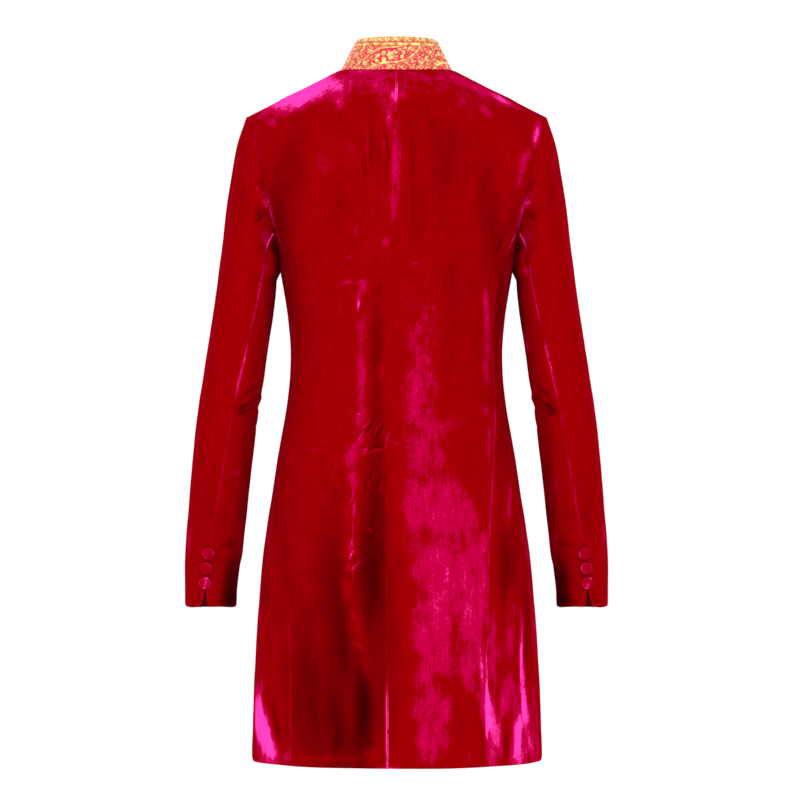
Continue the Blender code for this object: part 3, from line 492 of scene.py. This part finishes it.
def let_out(work, sewn_in=None):
    """Lets the cloth's edge out along the cloth, so that sewn edges meet.

    sewn_in(place, out) gives what more an edge gets that lies under its neighbour.
    """
    moves = {}
    for edge in work.edges:
        if not edge.is_boundary:
            continue
        face = edge.link_faces[0]
        run = edge.verts[1].co - edge.verts[0].co
        out = run.cross(face.normal).normalized()
        if out.dot(face.calc_center_median() - edge.verts[0].co) > 0:
            out.negate()
        for vert in edge.verts:
            moves[vert] = moves.get(vert, Vector()) + out
    for vert, out in moves.items():
        out = out.normalized()
        vert.co += out * (SEAM_REACH + (sewn_in(vert.co, out) if sewn_in else 0.0))


def armhole(node):
    """How much of the sleeve's edge is sewn in under the armhole's edge, from place to place."""
    hand = "left" if "left" in node else "right"
    trees = []
    for name in ("back", "side", "front"):
        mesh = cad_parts[f"{name}_{hand}"].data
        faces = [tuple(face.vertices) for face in mesh.polygons]
        trees.append(BVHTree.FromPolygons([v.co.copy() for v in mesh.vertices], faces))

    def sewn_in(place, out):
        if place.z < ARMHOLE_FOOT:
            return 0.0
        near = min(tree.find_nearest(place)[3] for tree in trees)
        return SEWN_IN * (1 - step(near, ARMHOLE_NEAR, ARMHOLE_FAR))

    return sewn_in


def collar_foot(place, out):
    """The collar's lower edge, which is sewn in under the neck's edge."""
    return COLLAR_SEWN_IN if out.z < -0.5 else 0.0


def halve_upright(work):
    """Halves the long upright sides of the cells."""
    tall = [
        edge for edge in work.edges
        if abs((edge.verts[1].co - edge.verts[0].co).normalized().z) > UPRIGHT
    ]
    bmesh.ops.subdivide_edges(work, edges=tall, cuts=1, use_grid_fill=True)


def rows_of(items, name):
    flat = np.empty(len(items) * 3, np.float32)
    items.foreach_get(name, flat)
    return flat.reshape(-1, 3).astype(float)


def points_of(mesh):
    return rows_of(mesh.vertices, "co")


def from_edge(mesh, points):
    """Each point's distance from the cloth's edge, in metres."""
    work = bmesh.new()
    work.from_mesh(mesh)
    rim = [edge for edge in work.edges if edge.is_boundary]
    marks = [edge.verts[0].co.lerp(edge.verts[1].co, t) for edge in rim for t in (0.0, 0.5)]
    work.free()
    tree = KDTree(len(marks))
    for k, mark in enumerate(marks):
        tree.insert(mark, k)
    tree.balance()
    return np.array([tree.find(point)[2] for point in points])


def bell(value, middle, reach):
    """1 at the middle, falling smoothly to nothing within about twice the reach."""
    return np.exp(-(((value - middle) / reach) ** 2))


def step(value, low, high):
    t = np.clip((value - low) / (high - low), 0.0, 1.0)
    return t * t * (3 - 2 * t)


def patch(across, height, x, z, half_width, half_height, strength, crispness=1.2, lean=0):
    """How strongly one soft patch of a table covers each point, from 0 to 1."""
    lean = math.radians(lean)
    dx, dz = across - x, height - z
    a = (dx * math.cos(lean) - dz * math.sin(lean)) / half_width
    b = (dx * math.sin(lean) + dz * math.cos(lean)) / half_height
    return strength / 100 * np.exp(-((a * a + b * b) ** crispness))


def patches(across, height, rows):
    """Patches that merge where they meet, none stronger than the strongest."""
    return (np.array([patch(across, height, *row) for row in rows]) ** 4).sum(axis=0) ** 0.25


def shadows(across, height, rows):
    """Patches that deepen where they meet."""
    return 1 - (1 - np.array([patch(across, height, *row) for row in rows])).prod(axis=0)


def creases(across, height, rows):
    """Height in metres, and painted highlight and shade, that a table of creases gives each point.
    """
    rise, painted_light = np.zeros(len(across)), np.zeros(len(across))
    for x1, z1, x2, z2, width, depth, *rest in rows:
        depth, (bow, painted_highlight) = depth / 100, (*rest, 0, 0)[:2]
        run = np.array((x2 - x1, z2 - z1), float)
        length = np.linalg.norm(run)
        run /= length
        dx, dz = across - x1, height - z1
        along = (dx * run[0] + dz * run[1]) / length
        aside = dz * run[0] - dx * run[1] - bow * 4 * along * (1 - along)
        taper = step(along, -0.08, 0.25) * step(1 - along, -0.08, 0.25)
        rise += depth * MM * taper * bell(aside, 0, width)
        painted_light += (painted_highlight / 100 + CREASE_SHINE) * taper * bell(aside, 0.5 * width, width)
        # Painted shade on the crease's other flank.
        crease_shade = CREASE_SHADOW * abs(depth) * min(1.0, FULL_SHADOW_WIDTH / width)
        painted_light -= crease_shade * taper * bell(aside, -0.9 * width, width)
    return rise, painted_light


def ripples(points):
    rise = np.zeros(len(points))
    x, y, z = (points / MM).T
    for across, down, high, phase in RIPPLES:
        turn = 2 * math.pi * (np.abs(x) + 0.7 * y) / across
        rise += high * MM * np.sin(turn + phase + 1.3 * np.sin(2 * math.pi * z / down + phase))
    return rise


def body_looks(points, normals, edge):
    """What the tables give a piece of the body: rise in metres, and its painted sheen and painted
    shade.
    """
    x, y, z = (points / MM).T
    behind = step(normals[:, 1], -0.15, 0.15)
    ahead = 1 - behind
    aside = step(np.abs(normals[:, 0]), 0.8, 0.97)
    rise_back, painted_light_back = creases(x, z, BACK_CREASES)
    rise_front, painted_light_front = creases(x, z, FRONT_CREASES)
    rise = rise_back * behind + rise_front * ahead
    # Painted sheen (lit), painted shade (dim) and painted seam highlights, joined by the creases'
    # painted highlights and shade.
    lit = patches(x, z, BACK_PAINTED_SHEEN) * behind + patches(x, z, FRONT_PAINTED_SHEEN) * ahead
    lit = np.maximum(lit, aside * patches(y, z, SIDE_PAINTED_SHEEN))
    dim = shadows(x, z, BACK_SHADE) * behind + shadows(x, z, FRONT_SHADE) * ahead
    seam = patches(x, z, SEAM_PAINTED_HIGHLIGHT) * behind + patches(x, z, FRONT_SEAM_PAINTED_HIGHLIGHT) * ahead
    painted_light = painted_light_back * behind + painted_light_front * ahead
    return rise, lit + np.maximum(painted_light, 0) + seam * edge, dim - np.minimum(painted_light, 0)


def arm_looks(points, normals, edge):
    """The same for a piece of a sleeve, from tables that serve both arms."""
    x, y, z = (points / MM).T
    x = np.abs(x)
    out = normals[:, 0] * np.sign(points[:, 0])
    behind = step(normals[:, 1], -0.35, 0.05)
    rise, painted_light = creases(x, z, SLEEVE_CREASES)
    # Painted sheen and the creases' painted highlights, painted seam highlights, and painted
    # shade.
    lit = patches(x, z, SLEEVE_PAINTED_SHEEN) * behind + np.maximum(painted_light, 0) * behind
    lit = np.maximum(lit, 0.45 * step(out, 0.6, 0.95) * patches(y, z, SIDE_PAINTED_SHEEN))
    dim = shadows(x, z, SLEEVE_SHADE) * step(normals[:, 1], -0.8, -0.2)
    dim -= np.minimum(painted_light, 0) * behind
    seam = patches(x, z, ARM_SEAM_PAINTED_HIGHLIGHT) + patches(x, z, SEAM_PAINTED_HIGHLIGHT[1:2]) * behind
    armpit = np.exp(-(((z - UNDERARM_HEIGHT) / UNDERARM_REACH) ** 4))
    swell = UNDERARM_SWELL * step(-out, 0.2, 0.8) * armpit
    return rise * behind + swell, lit + seam * edge * edge, dim


def give(mesh, name, kind, values):
    mesh.attributes.new(name, kind, "POINT")
    slot = "value" if kind == "FLOAT" else "vector"
    mesh.attributes[name].data.foreach_set(slot, np.asarray(values, np.float32).ravel())


def put(mesh, places):
    mesh.vertices.foreach_set("co", places.astype(np.float32).ravel())
    mesh.update()


def walled(made, thickness, finishes):
    """Gives the face its thickness, inwards, and keeps the cloth's edge crisp."""
    wall = made.modifiers.new("wall", "SOLIDIFY")
    wall.thickness = thickness
    wall.offset = -1.0
    wall.material_offset = 1
    wall.material_offset_rim = 0
    for finish in finishes:
        made.data.materials.append(finish)
    settle(made)
    made.data.shade_smooth()
    made.data.set_sharp_from_angle(angle=SHARP_ANGLE)


def hand_over(made, node):
    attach(made, "root")
    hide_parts(node)


def sew(node, looks):
    """One velvet piece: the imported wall's outer face, creased, with a rolled edge and a wall."""
    cloth = settings()[0]
    sleeve = "sleeve" in node
    made = as_object(f"velvet_{node}", outer_face(node))
    remesh(made, firm_corners)
    rounded(made, 1)
    remesh(made, ringed)
    rounded(made, 2)
    if node.startswith("back"):
        remesh(made, halve_upright)
    remesh(made, let_out, armhole(node) if sleeve else None)
    mesh = made.data
    points, normals = points_of(mesh), rows_of(mesh.vertex_normals, "vector")
    away = from_edge(mesh, points)
    # The band along each edge where the seams' painted highlight lies.
    rise, lit, dim = looks(points, normals, bell(away, SEAM_LIGHT, SEAM_LIGHT_WIDTH))
    rise = (rise * cloth.crease_depth + ripples(points)) * step(away, FLAT_EDGE, FREE_CLOTH)
    rise -= cloth.seam_dip * bell(away, 0, cloth.seam_reach)
    places = points + normals * rise[:, None]
    if sleeve:
        # The sleeve's opening hangs a little lower in front.
        low = step(-points[:, 2], CUFF_TOP, CUFF_FOOT) * step(-normals[:, 1], -0.2, 0.6)
        places[:, 2] -= FRONT_DROP * low
    put(mesh, places)
    # The painted sheen less the painted shade, from which the velvet's colour is read.
    lit, dim = np.clip(lit, 0, BRIGHTEST_PAINTED_SHEEN), np.clip(dim * SHADE_GAIN, 0, 1)
    give(mesh, "painted_sheen_and_shade", "FLOAT", lit - dim * np.clip(1 - lit, 0, 1))
    grain = points.copy()
    if sleeve:
        turn = Matrix.Rotation(np.sign(points[:, :1].mean()) * SLEEVE_TILT, 3, "Y")
        grain = grain @ np.array(turn).T
    grain[:, 1] += GRAIN_SHIFT * (1 + list(SHEETS).index(node))
    give(mesh, "grain", "FLOAT_VECTOR", grain)
    walled(made, cloth.velvet_wall, (finish(crushed_velvet), finish(velvet_reverse)))
    hand_over(made, node)


def sew_pair(piece, looks):
    for hand in HANDS:
        sew(f"{piece}_{hand}", looks)


# Finishes


def shading(tree, kind, values, **options):
    """A shader node with its options set, and its inputs given as numbers or sockets."""
    node = tree.nodes.new("ShaderNode" + kind)
    for name, option in options.items():
        setattr(node, name, option)
    for name, value in values.items():
        if isinstance(value, Amount):
            value = value.socket
        if isinstance(value, bpy.types.NodeSocket):
            tree.links.new(value, node.inputs[name])
        else:
            node.inputs[name].default_value = value
    return node


class Amount:
    """A number that varies over the surface, worked out by Math nodes."""

    def __init__(self, tree, socket):
        self.tree, self.socket = tree, socket

    def by(self, operation, *others):
        values = dict(enumerate((self, *others)))
        node = shading(self.tree, "Math", values, operation=operation)
        return Amount(self.tree, node.outputs[0])

    def __add__(self, other):
        return self.by("ADD", other)

    def __sub__(self, other):
        return self.by("SUBTRACT", other)

    def __mul__(self, other):
        return self.by("MULTIPLY", other)

    def __truediv__(self, other):
        return self.by("DIVIDE", other)

    def __abs__(self):
        return self.by("ABSOLUTE")

    def over(self, other):
        return self.by("MAXIMUM", other)

    def under(self, other):
        return self.by("MINIMUM", other)

    def left(self, share=1.0):
        """What is left of a share when this is taken away from it."""
        return self * -share + share

    def within(self, reach, soft):
        """1 where this is below reach, falling to 0 over twice soft."""
        values = {
            "Value": self, "From Min": reach - soft, "From Max": reach + soft,
            "To Min": 1.0, "To Max": 0.0,
        }
        node = shading(self.tree, "MapRange", values, interpolation_type="SMOOTHSTEP")
        return Amount(self.tree, node.outputs["Result"])


def finish(make):
    """The finish that a function of the same name makes, made once."""
    return bpy.data.materials.get(make.__name__) or make()


def new_finish(name, roughness, specular):
    made = bpy.data.materials.new(name)
    made.use_nodes = True
    shader = made.node_tree.nodes["Principled BSDF"]
    shader.inputs["Roughness"].default_value = roughness
    shader.inputs["Specular IOR Level"].default_value = specular
    return made, made.node_tree, shader


def stored(tree, name, output="Vector"):
    return shading(tree, "Attribute", {}, attribute_name=name).outputs[output]


def noise(tree, vector, scale, stretch=(1, 1, 1), detail=2.0, roughness=0.5):
    """Noise in features per metre, drawn out along an axis by a stretch below 1."""
    mapping = shading(tree, "Mapping", {"Scale": stretch, "Vector": vector})
    values = {"Scale": scale, "Detail": detail, "Roughness": roughness}
    values["Vector"] = mapping.outputs[0]
    return Amount(tree, shading(tree, "TexNoise", values).outputs[0])


def ramp(tree, amount, stops):
    node = tree.nodes.new("ShaderNodeValToRGB")
    band = node.color_ramp
    while len(band.elements) < len(stops):
        band.elements.new(0.5)
    for element, (place, colour) in zip(band.elements, stops):
        element.position = place
        element.color = (*colour, 1.0)
    tree.links.new(amount.socket, node.inputs[0])
    return node.outputs["Color"]


def bumped(tree, shader, height, distance, strength):
    values = {"Strength": strength, "Distance": distance, "Height": height}
    tree.links.new(shading(tree, "Bump", values).outputs[0], shader.inputs["Normal"])


def tint(a, b, t):
    return tuple(x + (y - x) * t for x, y in zip(a, b))


def crushed_velvet():
    """Crushed velvet: crimson pile, painted magenta and pink where painted sheen lies and darker
    where painted shade lies.
    """
    cloth = settings()[0]
    made, tree, shader = new_finish("crushed_velvet", 0.95, 0.0)
    grain = stored(tree, "grain")
    painted_sheen_and_shade = Amount(tree, stored(tree, "painted_sheen_and_shade", "Fac"))
    streaks = noise(tree, grain, 170, (1, 1, 0.13), 4.0, 0.62) - 0.5
    tufts = noise(tree, grain, 560, (1, 1, 0.5), 3.0, 0.7) - 0.5
    clouds = noise(tree, grain, 62, (1, 1, 0.6), 4.0, 0.6) - 0.5
    pile = noise(tree, grain, 1500, (1, 1, 0.6), 1.0, 0.5)
    # Painted sheen turns the pile's colour raggedly, and painted shade lies evenly.
    started = (painted_sheen_and_shade * 5.0).over(0.0).under(1.0)
    settled = (painted_sheen_and_shade * -2.5).over(0.0).under(1.0)
    ragged = streaks * 1.1 + tufts * 1.3 + clouds * 1.5
    hot = (painted_sheen_and_shade - 0.62).over(0.0)
    level = painted_sheen_and_shade * 0.5 + hot * 0.45 + ragged * (started * 0.20 - settled * 0.12 + 0.21) + 0.475
    colours = (cloth.crimson, cloth.shade, cloth.magenta, cloth.pink)
    crimson, shade, magenta, pink = (tuple(c) for c in colours)
    # Below crimson the ramp is painted shade, down to near black; above it, painted sheen in
    # magenta and pink.
    stops = (
        (0.0, tint(shade, (0.0, 0.0, 0.0), 0.5)), (0.09, shade),
        (0.28, tint(shade, crimson, 0.50)), (0.42, tint(shade, crimson, 0.88)),
        (0.53, crimson), (0.59, tint(crimson, magenta, 0.22)),
        (0.66, tint(crimson, magenta, 0.78)), (0.80, magenta),
        (0.91, tint(magenta, pink, 0.45)), (1.0, pink),
    )
    tree.links.new(ramp(tree, level, stops), shader.inputs["Base Color"])
    shader.inputs["Sheen Weight"].default_value = 0.10
    shader.inputs["Sheen Roughness"].default_value = 0.4
    shader.inputs["Sheen Tint"].default_value = (1.0, 0.0, 0.10, 1.0)
    bumped(tree, shader, streaks * 0.7 + tufts * 0.5 + pile * 0.15, 0.5 * MM, 0.6)
    return made


def velvet_reverse():
    """The back of the cloth: a dull, close weave."""
    cloth = settings()[0]
    made, tree, shader = new_finish("velvet_reverse", 0.85, 0.1)
    grain = stored(tree, "grain")
    warp = noise(tree, grain, 900, (1, 1, 0.12), 2.0, 0.5)
    weft = noise(tree, grain, 900, (0.12, 0.12, 1), 2.0, 0.5)
    mottle = noise(tree, grain, 25, (1, 1, 0.5), 3.0, 0.6)
    weave = warp * 0.5 + weft * 0.5
    crimson = tuple(cloth.crimson)
    dull = tint(tuple(cloth.shade), crimson, 0.55)
    stops = ((0.3, tint(dull, (0, 0, 0), 0.3)), (0.7, tint(dull, crimson, 0.5)))
    tree.links.new(ramp(tree, weave * 0.6 + mottle * 0.4, stops), shader.inputs["Base Color"])
    bumped(tree, shader, weave, 0.3 * MM, 0.5)
    return made


# Collar


def neck_line(mesh, corners):
    """The collar's lower edge, in order from one front end round the back to the other."""
    work = bmesh.new()
    work.from_mesh(mesh)
    rim = [v for v in work.verts if v.is_boundary]
    ends = [min(rim, key=lambda v: (v.co - corner).length) for corner in corners]
    goal, start = sorted(sorted(ends, key=lambda v: v.co.z)[:2], key=lambda v: v.co.x)
    for edge in [e for e in start.link_edges if e.is_boundary]:
        row = [start, edge.other_vert(start)]
        while row[-1] not in ends:
            edge = next(e for e in row[-1].link_edges if e.is_boundary and e != edge)
            row.append(edge.other_vert(row[-1]))
        if row[-1] == goal:
            line = np.array([v.co[:] for v in row], float)
            work.free()
            return line
    raise RuntimeError("the collar's lower edge doesn't run from end to end")


def collar_chart(mesh, points, corners):
    """Each point's place on the flat collar in millimetres: along from the centre back, and up."""
    line = neck_line(mesh, corners)
    steps = np.linalg.norm(np.diff(line, axis=0), axis=1)
    run = np.concatenate([[0.0], np.cumsum(steps)])
    marks = np.linspace(0.0, run[-1], COLLAR_MARKS)
    foot = np.stack([np.interp(marks, run, line[:, k]) for k in range(3)], axis=1)
    inwards = -foot[:, :2] / np.linalg.norm(foot[:, :2], axis=1)[:, None]
    back, side = np.maximum(0, -inwards[:, 1]) ** 2, inwards[:, 0] ** 2
    front = np.maximum(0, inwards[:, 1]) ** 2
    lean = np.array(COLLAR_LEANS) @ np.stack([back, side, front]) / (back + side + front)
    lean = np.radians(lean)
    rise = np.column_stack([inwards * np.sin(lean)[:, None], np.cos(lean)])
    chart = np.zeros((len(points), 3))
    for k, point in enumerate(points):
        offset = point - foot
        high = np.einsum("ij,ij->i", offset, rise)
        miss = ((offset - rise * high[:, None]) ** 2).sum(axis=1)
        best = int(miss.argmin())
        chart[k] = ((marks[best] - run[-1] / 2) / MM, high[best] / MM, 0.0)
    return chart


def gold_brocade():
    """Gold vines in climbing bands on a pink silk ground, under a scalloped border."""
    trim = settings()[1]
    made, tree, shader = new_finish("gold_brocade", 0.6, 0.08)
    chart = stored(tree, "chart")
    split = shading(tree, "SeparateXYZ", {0: chart})
    along = Amount(tree, split.outputs["X"]) - BAND_START[0]
    up = Amount(tree, split.outputs["Y"])
    turns = (along / REPEAT + 0.5).by("FLOOR")
    across = along - turns * REPEAT
    wave = ((across + WAVE_START) * (math.tau / REPEAT)).by("COSINE") * WAVE
    climb = across * (RISE / REPEAT) + wave
    level = (up - BAND_START[1] - turns * RISE - climb).by("WRAP", RISE, 0.0)
    tall = level + climb
    wobble = (noise(tree, chart, 0.3, (1, 1, 1), 1.0, 0.5) - 0.5) * 0.8

    def line(middle, half):
        return abs(level - middle + wobble).within(half, 0.25)

    gold = reduce(Amount.over, (line(*vine) for vine in VINES))
    joined = shading(tree, "CombineXYZ", {"X": across, "Y": tall}).outputs[0]

    def from_leaf(x, y, half_length, half_width, turn):
        """Distance from a leaf's middle, where its edge is at 1."""
        values = {
            "Location": (x, y, 0), "Rotation": (0, 0, math.radians(turn)),
            "Scale": (half_length, half_width, 1), "Vector": joined,
        }
        mapping = shading(tree, "Mapping", values, vector_type="TEXTURE")
        reach = shading(tree, "VectorMath", {0: mapping.outputs[0]}, operation="LENGTH")
        return Amount(tree, reach.outputs["Value"])

    nearest = reduce(Amount.under, (from_leaf(*leaf) for leaf in LEAVES))
    # Small leaves fill the ground between the charted ones.
    turn = (0, 0, math.radians(FILL_TURN))
    cells = shading(tree, "Mapping", {"Rotation": turn, "Scale": FILL_SCALE, "Vector": chart})
    mosaic = shading(
        tree, "TexVoronoi", {"Scale": 1.0, "Randomness": 0.85, "Vector": cells.outputs[0]},
        voronoi_dimensions="2D", feature="DISTANCE_TO_EDGE",
    )
    ground = Amount(tree, mosaic.outputs["Distance"]).within(0.17, 0.05)
    open_ground = nearest.within(1.45, 0.1)
    filled = ground.left() * open_ground.left()
    for middle, half, share in CLEARINGS:
        filled = filled * line(middle, half).left(share)
    gold = gold.over(nearest.within(0.9, 0.10))
    for x, y, radius, petals in BLOOMS:
        dx, dy = across - x, tall - y
        reach = (dx * dx + dy * dy).by("SQRT")
        petal = abs((dy.by("ARCTAN2", dx) * petals).by("COSINE")) * 0.42 + 0.60
        eye = abs(reach - radius * 0.34).within(0.28, 0.14)
        shape = reach / petal
        filled = filled * shape.within(radius + 1.0, 0.2).left()
        gold = gold.over(shape.within(radius, 0.3)) - eye
    gold = gold.over(filled)
    # The border: paired leaves over a wavy line and a plain bar, with the field kept clear of it.
    down = abs(up - COLLAR_RISE)
    gold = gold * down.by("GREATER_THAN", 9.4)
    bar = abs(down - 7.3).within(1.5, 0.2)
    tooth = abs(along.by("WRAP", SCALLOP, 0.0) - SCALLOP / 2)
    u, v = tooth - 2.1, down - 1.9
    a, b = u * 0.82 + v * 0.57, v * 0.82 - u * 0.57
    leaf = ((a / 2.5) * (a / 2.5) + (b / 1.15) * (b / 1.15)).within(1.0, 0.2)
    wavy = (along * (math.tau / SCALLOP * 2)).by("COSINE") * 0.35
    thin = abs(down - 4.9 + wavy).within(0.32, 0.15)
    border = bar.over(leaf).over(thin).over(down.within(0.6, 0.1))
    gold = gold.over(border * down.by("LESS_THAN", 9.2))
    thread = (along * 4.4 + up * 6.1).by("SINE") * 0.5 + 0.5
    mottle = noise(tree, chart, 0.16, (1, 1, 1), 3.0, 0.5)
    # The mottle paints light and dark sheen on the gold thread, and darkens the silk in places.
    bright = mottle * 0.85 + thread * 0.15
    metal, silk = tuple(trim.gold), tuple(trim.silk)
    metal = ramp(tree, bright, (
        (0.36, tint(metal, (0.14, 0.055, 0.0), 0.5)),
        (0.47, metal),
        (0.58, tint(metal, (0.74, 0.68, 0.24), 0.85)),
    ))
    silk = ramp(tree, bright, ((0.38, tint(silk, (0.40, 0.0, 0.02), 0.6)), (0.52, silk)))
    # A colour mix has its factor and its two colours at inputs 0, 6 and 7, and its result at 2.
    blend = shading(tree, "Mix", {0: gold, 6: silk, 7: metal}, data_type="RGBA")
    tree.links.new(blend.outputs[2], shader.inputs["Base Color"])
    bumped(tree, shader, gold * 0.6 + thread * 0.2 + mottle * 0.2, 0.35 * MM, 0.7)
    return made


def set_collar():
    """The brocade collar: its pattern is laid on the flat before its edges roll."""
    work = outer_face("collar")
    corners = [v.co.copy() for v in work.verts if len(v.link_edges) == 2]
    made = as_object("brocade_collar", work)
    rounded(made, 1)
    remesh(made, ringed)
    rounded(made, 2)
    remesh(made, let_out, collar_foot)
    mesh = made.data
    points, normals = points_of(mesh), rows_of(mesh.vertex_normals, "vector")
    give(mesh, "chart", "FLOAT_VECTOR", collar_chart(mesh, points, corners))
    rise = -COLLAR_DIP * bell(from_edge(mesh, points), 0, COLLAR_DIP_REACH)
    put(mesh, points + normals * rise[:, None])
    walled(made, settings()[0].brocade_wall, [finish(gold_brocade)] * 2)
    hand_over(made, "collar")


# Buttons


def button_seat(node):
    """A packed button's own frame, with Z off the cloth and its back at 0, and its radius."""
    points = points_of(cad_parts[node].data)
    middle = points.mean(axis=0)
    offsets = points - middle
    spread = np.linalg.eigh(np.cov(offsets.T))[1]
    axis = Vector(spread[:, 0])
    outwards = Vector((0.0, -1.0 if node.startswith("front") else 1.0, 0.0))
    axis = axis if axis.dot(outwards) > 0 else -axis
    heights = offsets @ np.array(axis)
    radius = np.linalg.norm(offsets - np.outer(heights, np.array(axis)), axis=1).max()
    foot = Vector(middle) + axis * float(heights.min())
    turn = axis.to_track_quat("Z", "Y").to_matrix().to_4x4()
    return Matrix.Translation(foot) @ turn, radius


def cover_button(node):
    """A covered button: a nearly flat face in a rolled rim, closed behind on a short shank."""
    place, radius = button_seat(node)
    dome = settings()[1].dome
    profile = [(out * radius, up * dome) for out, up in BUTTON_PROFILE]
    made = as_object(f"covered_{node}", spun(profile, 24))
    rounded(made, 1)
    x, y, z = points_of(made.data).T
    # A ring of painted sheen on the rim.
    rim = bell(np.hypot(x, y) / radius, 0.95, 0.12) * step(z / dome, 0.2, 0.6)
    painted_sheen_and_shade = 0.10 + rim * (0.50 + 0.14 * np.sin(np.arctan2(y, x) * 2 + 1.0))
    if node.startswith("cuff") and node.endswith("_3"):
        # The lowest cuff button has a streak of painted highlight.
        painted_sheen_and_shade += 0.45 * bell(x / radius - 0.35 * (y / radius), 0.1, 0.24) * step(z / dome, 0.5, 0.8)
    give(made.data, "painted_sheen_and_shade", "FLOAT", painted_sheen_and_shade)
    made.data.transform(place)
    give(made.data, "grain", "FLOAT_VECTOR", points_of(made.data))
    made.data.materials.append(finish(crushed_velvet))
    made.data.shade_smooth()
    hand_over(made, node)


# Studio


def set_floor(studio):
    """A round white bowl, flat under the jacket and curved up all round."""
    profile = [(0.0, studio.floor), (studio.reach - BOWL, studio.floor)]
    for k in range(1, 9):
        turn = k / 8 * math.pi / 2
        out, up = BOWL * math.sin(turn), BOWL * math.cos(turn)
        profile.append((studio.reach - BOWL + out, studio.floor + BOWL - up))
    profile.append((studio.reach, studio.floor + WALL))
    work = spun(profile, 64)
    bmesh.ops.reverse_faces(work, faces=work.faces)
    floor = as_object("studio_floor", work)
    floor.data.shade_smooth()
    paper, tree, shader = new_finish("studio_paper", 0.9, 0.0)
    speck = noise(tree, tree.nodes.new("ShaderNodeTexCoord").outputs["Object"], 6.0)
    stops = ((0.3, (0.93, 0.93, 0.93)), (0.7, (0.95, 0.95, 0.95)))
    tree.links.new(ramp(tree, speck, stops), shader.inputs["Base Color"])
    floor.data.materials.append(paper)


def set_stage():
    studio = settings()[2]
    scene = bpy.context.scene
    set_floor(studio)
    world = bpy.data.worlds.new("studio_daylight")
    scene.world = world
    world.use_nodes = True
    sky = world.node_tree.nodes["Background"]
    sky.inputs["Color"].default_value = (1.0, 1.0, 1.0, 1.0)
    sky.inputs["Strength"].default_value = studio.daylight
    for name, (place, share) in LAMPS.items():
        lamp = bpy.data.lights.new(name, "AREA")
        lamp.shape = "DISK"
        lamp.size = LAMP_SIZE
        lamp.energy = studio.lamp * share
        stand = bpy.data.objects.new(name, lamp)
        stand.location = place
        stand.rotation_euler = (LAMP_AIM - Vector(place)).to_track_quat("-Z", "Y").to_euler()
        scene.collection.objects.link(stand)
    lens = bpy.data.cameras.new("camera")
    lens.lens, lens.sensor_width = LENS, SENSOR
    camera = bpy.data.objects.new("camera", lens)
    camera.location = EYE
    camera.rotation_euler = (math.pi / 2, 0.0, math.pi)
    scene.collection.objects.link(camera)
    scene.camera = camera
    scene.view_settings.view_transform = "Standard"


class JACKET_OT_backs(Operator):
    """Sew the two backs"""

    bl_idname = "jacket.backs"
    bl_label = "Backs"

    def execute(self, context):
        sew_pair("back", body_looks)
        return {"FINISHED"}


class JACKET_OT_sides(Operator):
    """Sew the two side bodies"""

    bl_idname = "jacket.sides"
    bl_label = "Side Bodies"

    def execute(self, context):
        sew_pair("side", body_looks)
        return {"FINISHED"}


class JACKET_OT_fronts(Operator):
    """Sew the two fronts"""

    bl_idname = "jacket.fronts"
    bl_label = "Fronts"

    def execute(self, context):
        sew_pair("front", body_looks)
        return {"FINISHED"}


class JACKET_OT_sleeves(Operator):
    """Sew the top and under sleeves"""

    bl_idname = "jacket.sleeves"
    bl_label = "Sleeves"

    def execute(self, context):
        sew_pair("top_sleeve", arm_looks)
        sew_pair("under_sleeve", arm_looks)
        return {"FINISHED"}


class JACKET_OT_collar(Operator):
    """Set the brocade stand collar"""

    bl_idname = "jacket.collar"
    bl_label = "Collar"

    def execute(self, context):
        set_collar()
        return {"FINISHED"}


class JACKET_OT_buttons(Operator):
    """Cover the buttons of the cuffs and the front"""

    bl_idname = "jacket.buttons"
    bl_label = "Buttons"

    def execute(self, context):
        for node in BUTTONS:
            cover_button(node)
        return {"FINISHED"}


class JACKET_OT_studio(Operator):
    """Set the floor, the lights and the camera"""

    bl_idname = "jacket.studio"
    bl_label = "Studio"

    def execute(self, context):
        set_stage()
        return {"FINISHED"}


STEPS = (
    JACKET_OT_backs, JACKET_OT_sides, JACKET_OT_fronts, JACKET_OT_sleeves,
    JACKET_OT_collar, JACKET_OT_buttons, JACKET_OT_studio,
)


class JACKET_PT_panel(Panel):
    """The jacket's settings and the steps that make it"""

    bl_label = "Velvet Jacket"
    bl_idname = "JACKET_PT_panel"
    bl_space_type = "VIEW_3D"
    bl_region_type = "UI"
    bl_category = "Jacket"

    def draw(self, context):
        layout = self.layout
        for group in settings():
            for name in group.__annotations__:
                layout.prop(group, name)
        for made in STEPS:
            layout.operator(made.bl_idname)


CLASSES = (*GROUPS.values(), *STEPS, JACKET_PT_panel)


def register():
    for made in CLASSES:
        bpy.utils.register_class(made)
    for name, group in GROUPS.items():
        setattr(bpy.types.Scene, name, PointerProperty(type=group))


def unregister():
    for name in GROUPS:
        delattr(bpy.types.Scene, name)
    for made in reversed(CLASSES):
        bpy.utils.unregister_class(made)


def main():
    register()
    for made in STEPS:
        getattr(bpy.ops.jacket, made.bl_idname.split(".")[1])()


if __name__ == "__main__":
    main()
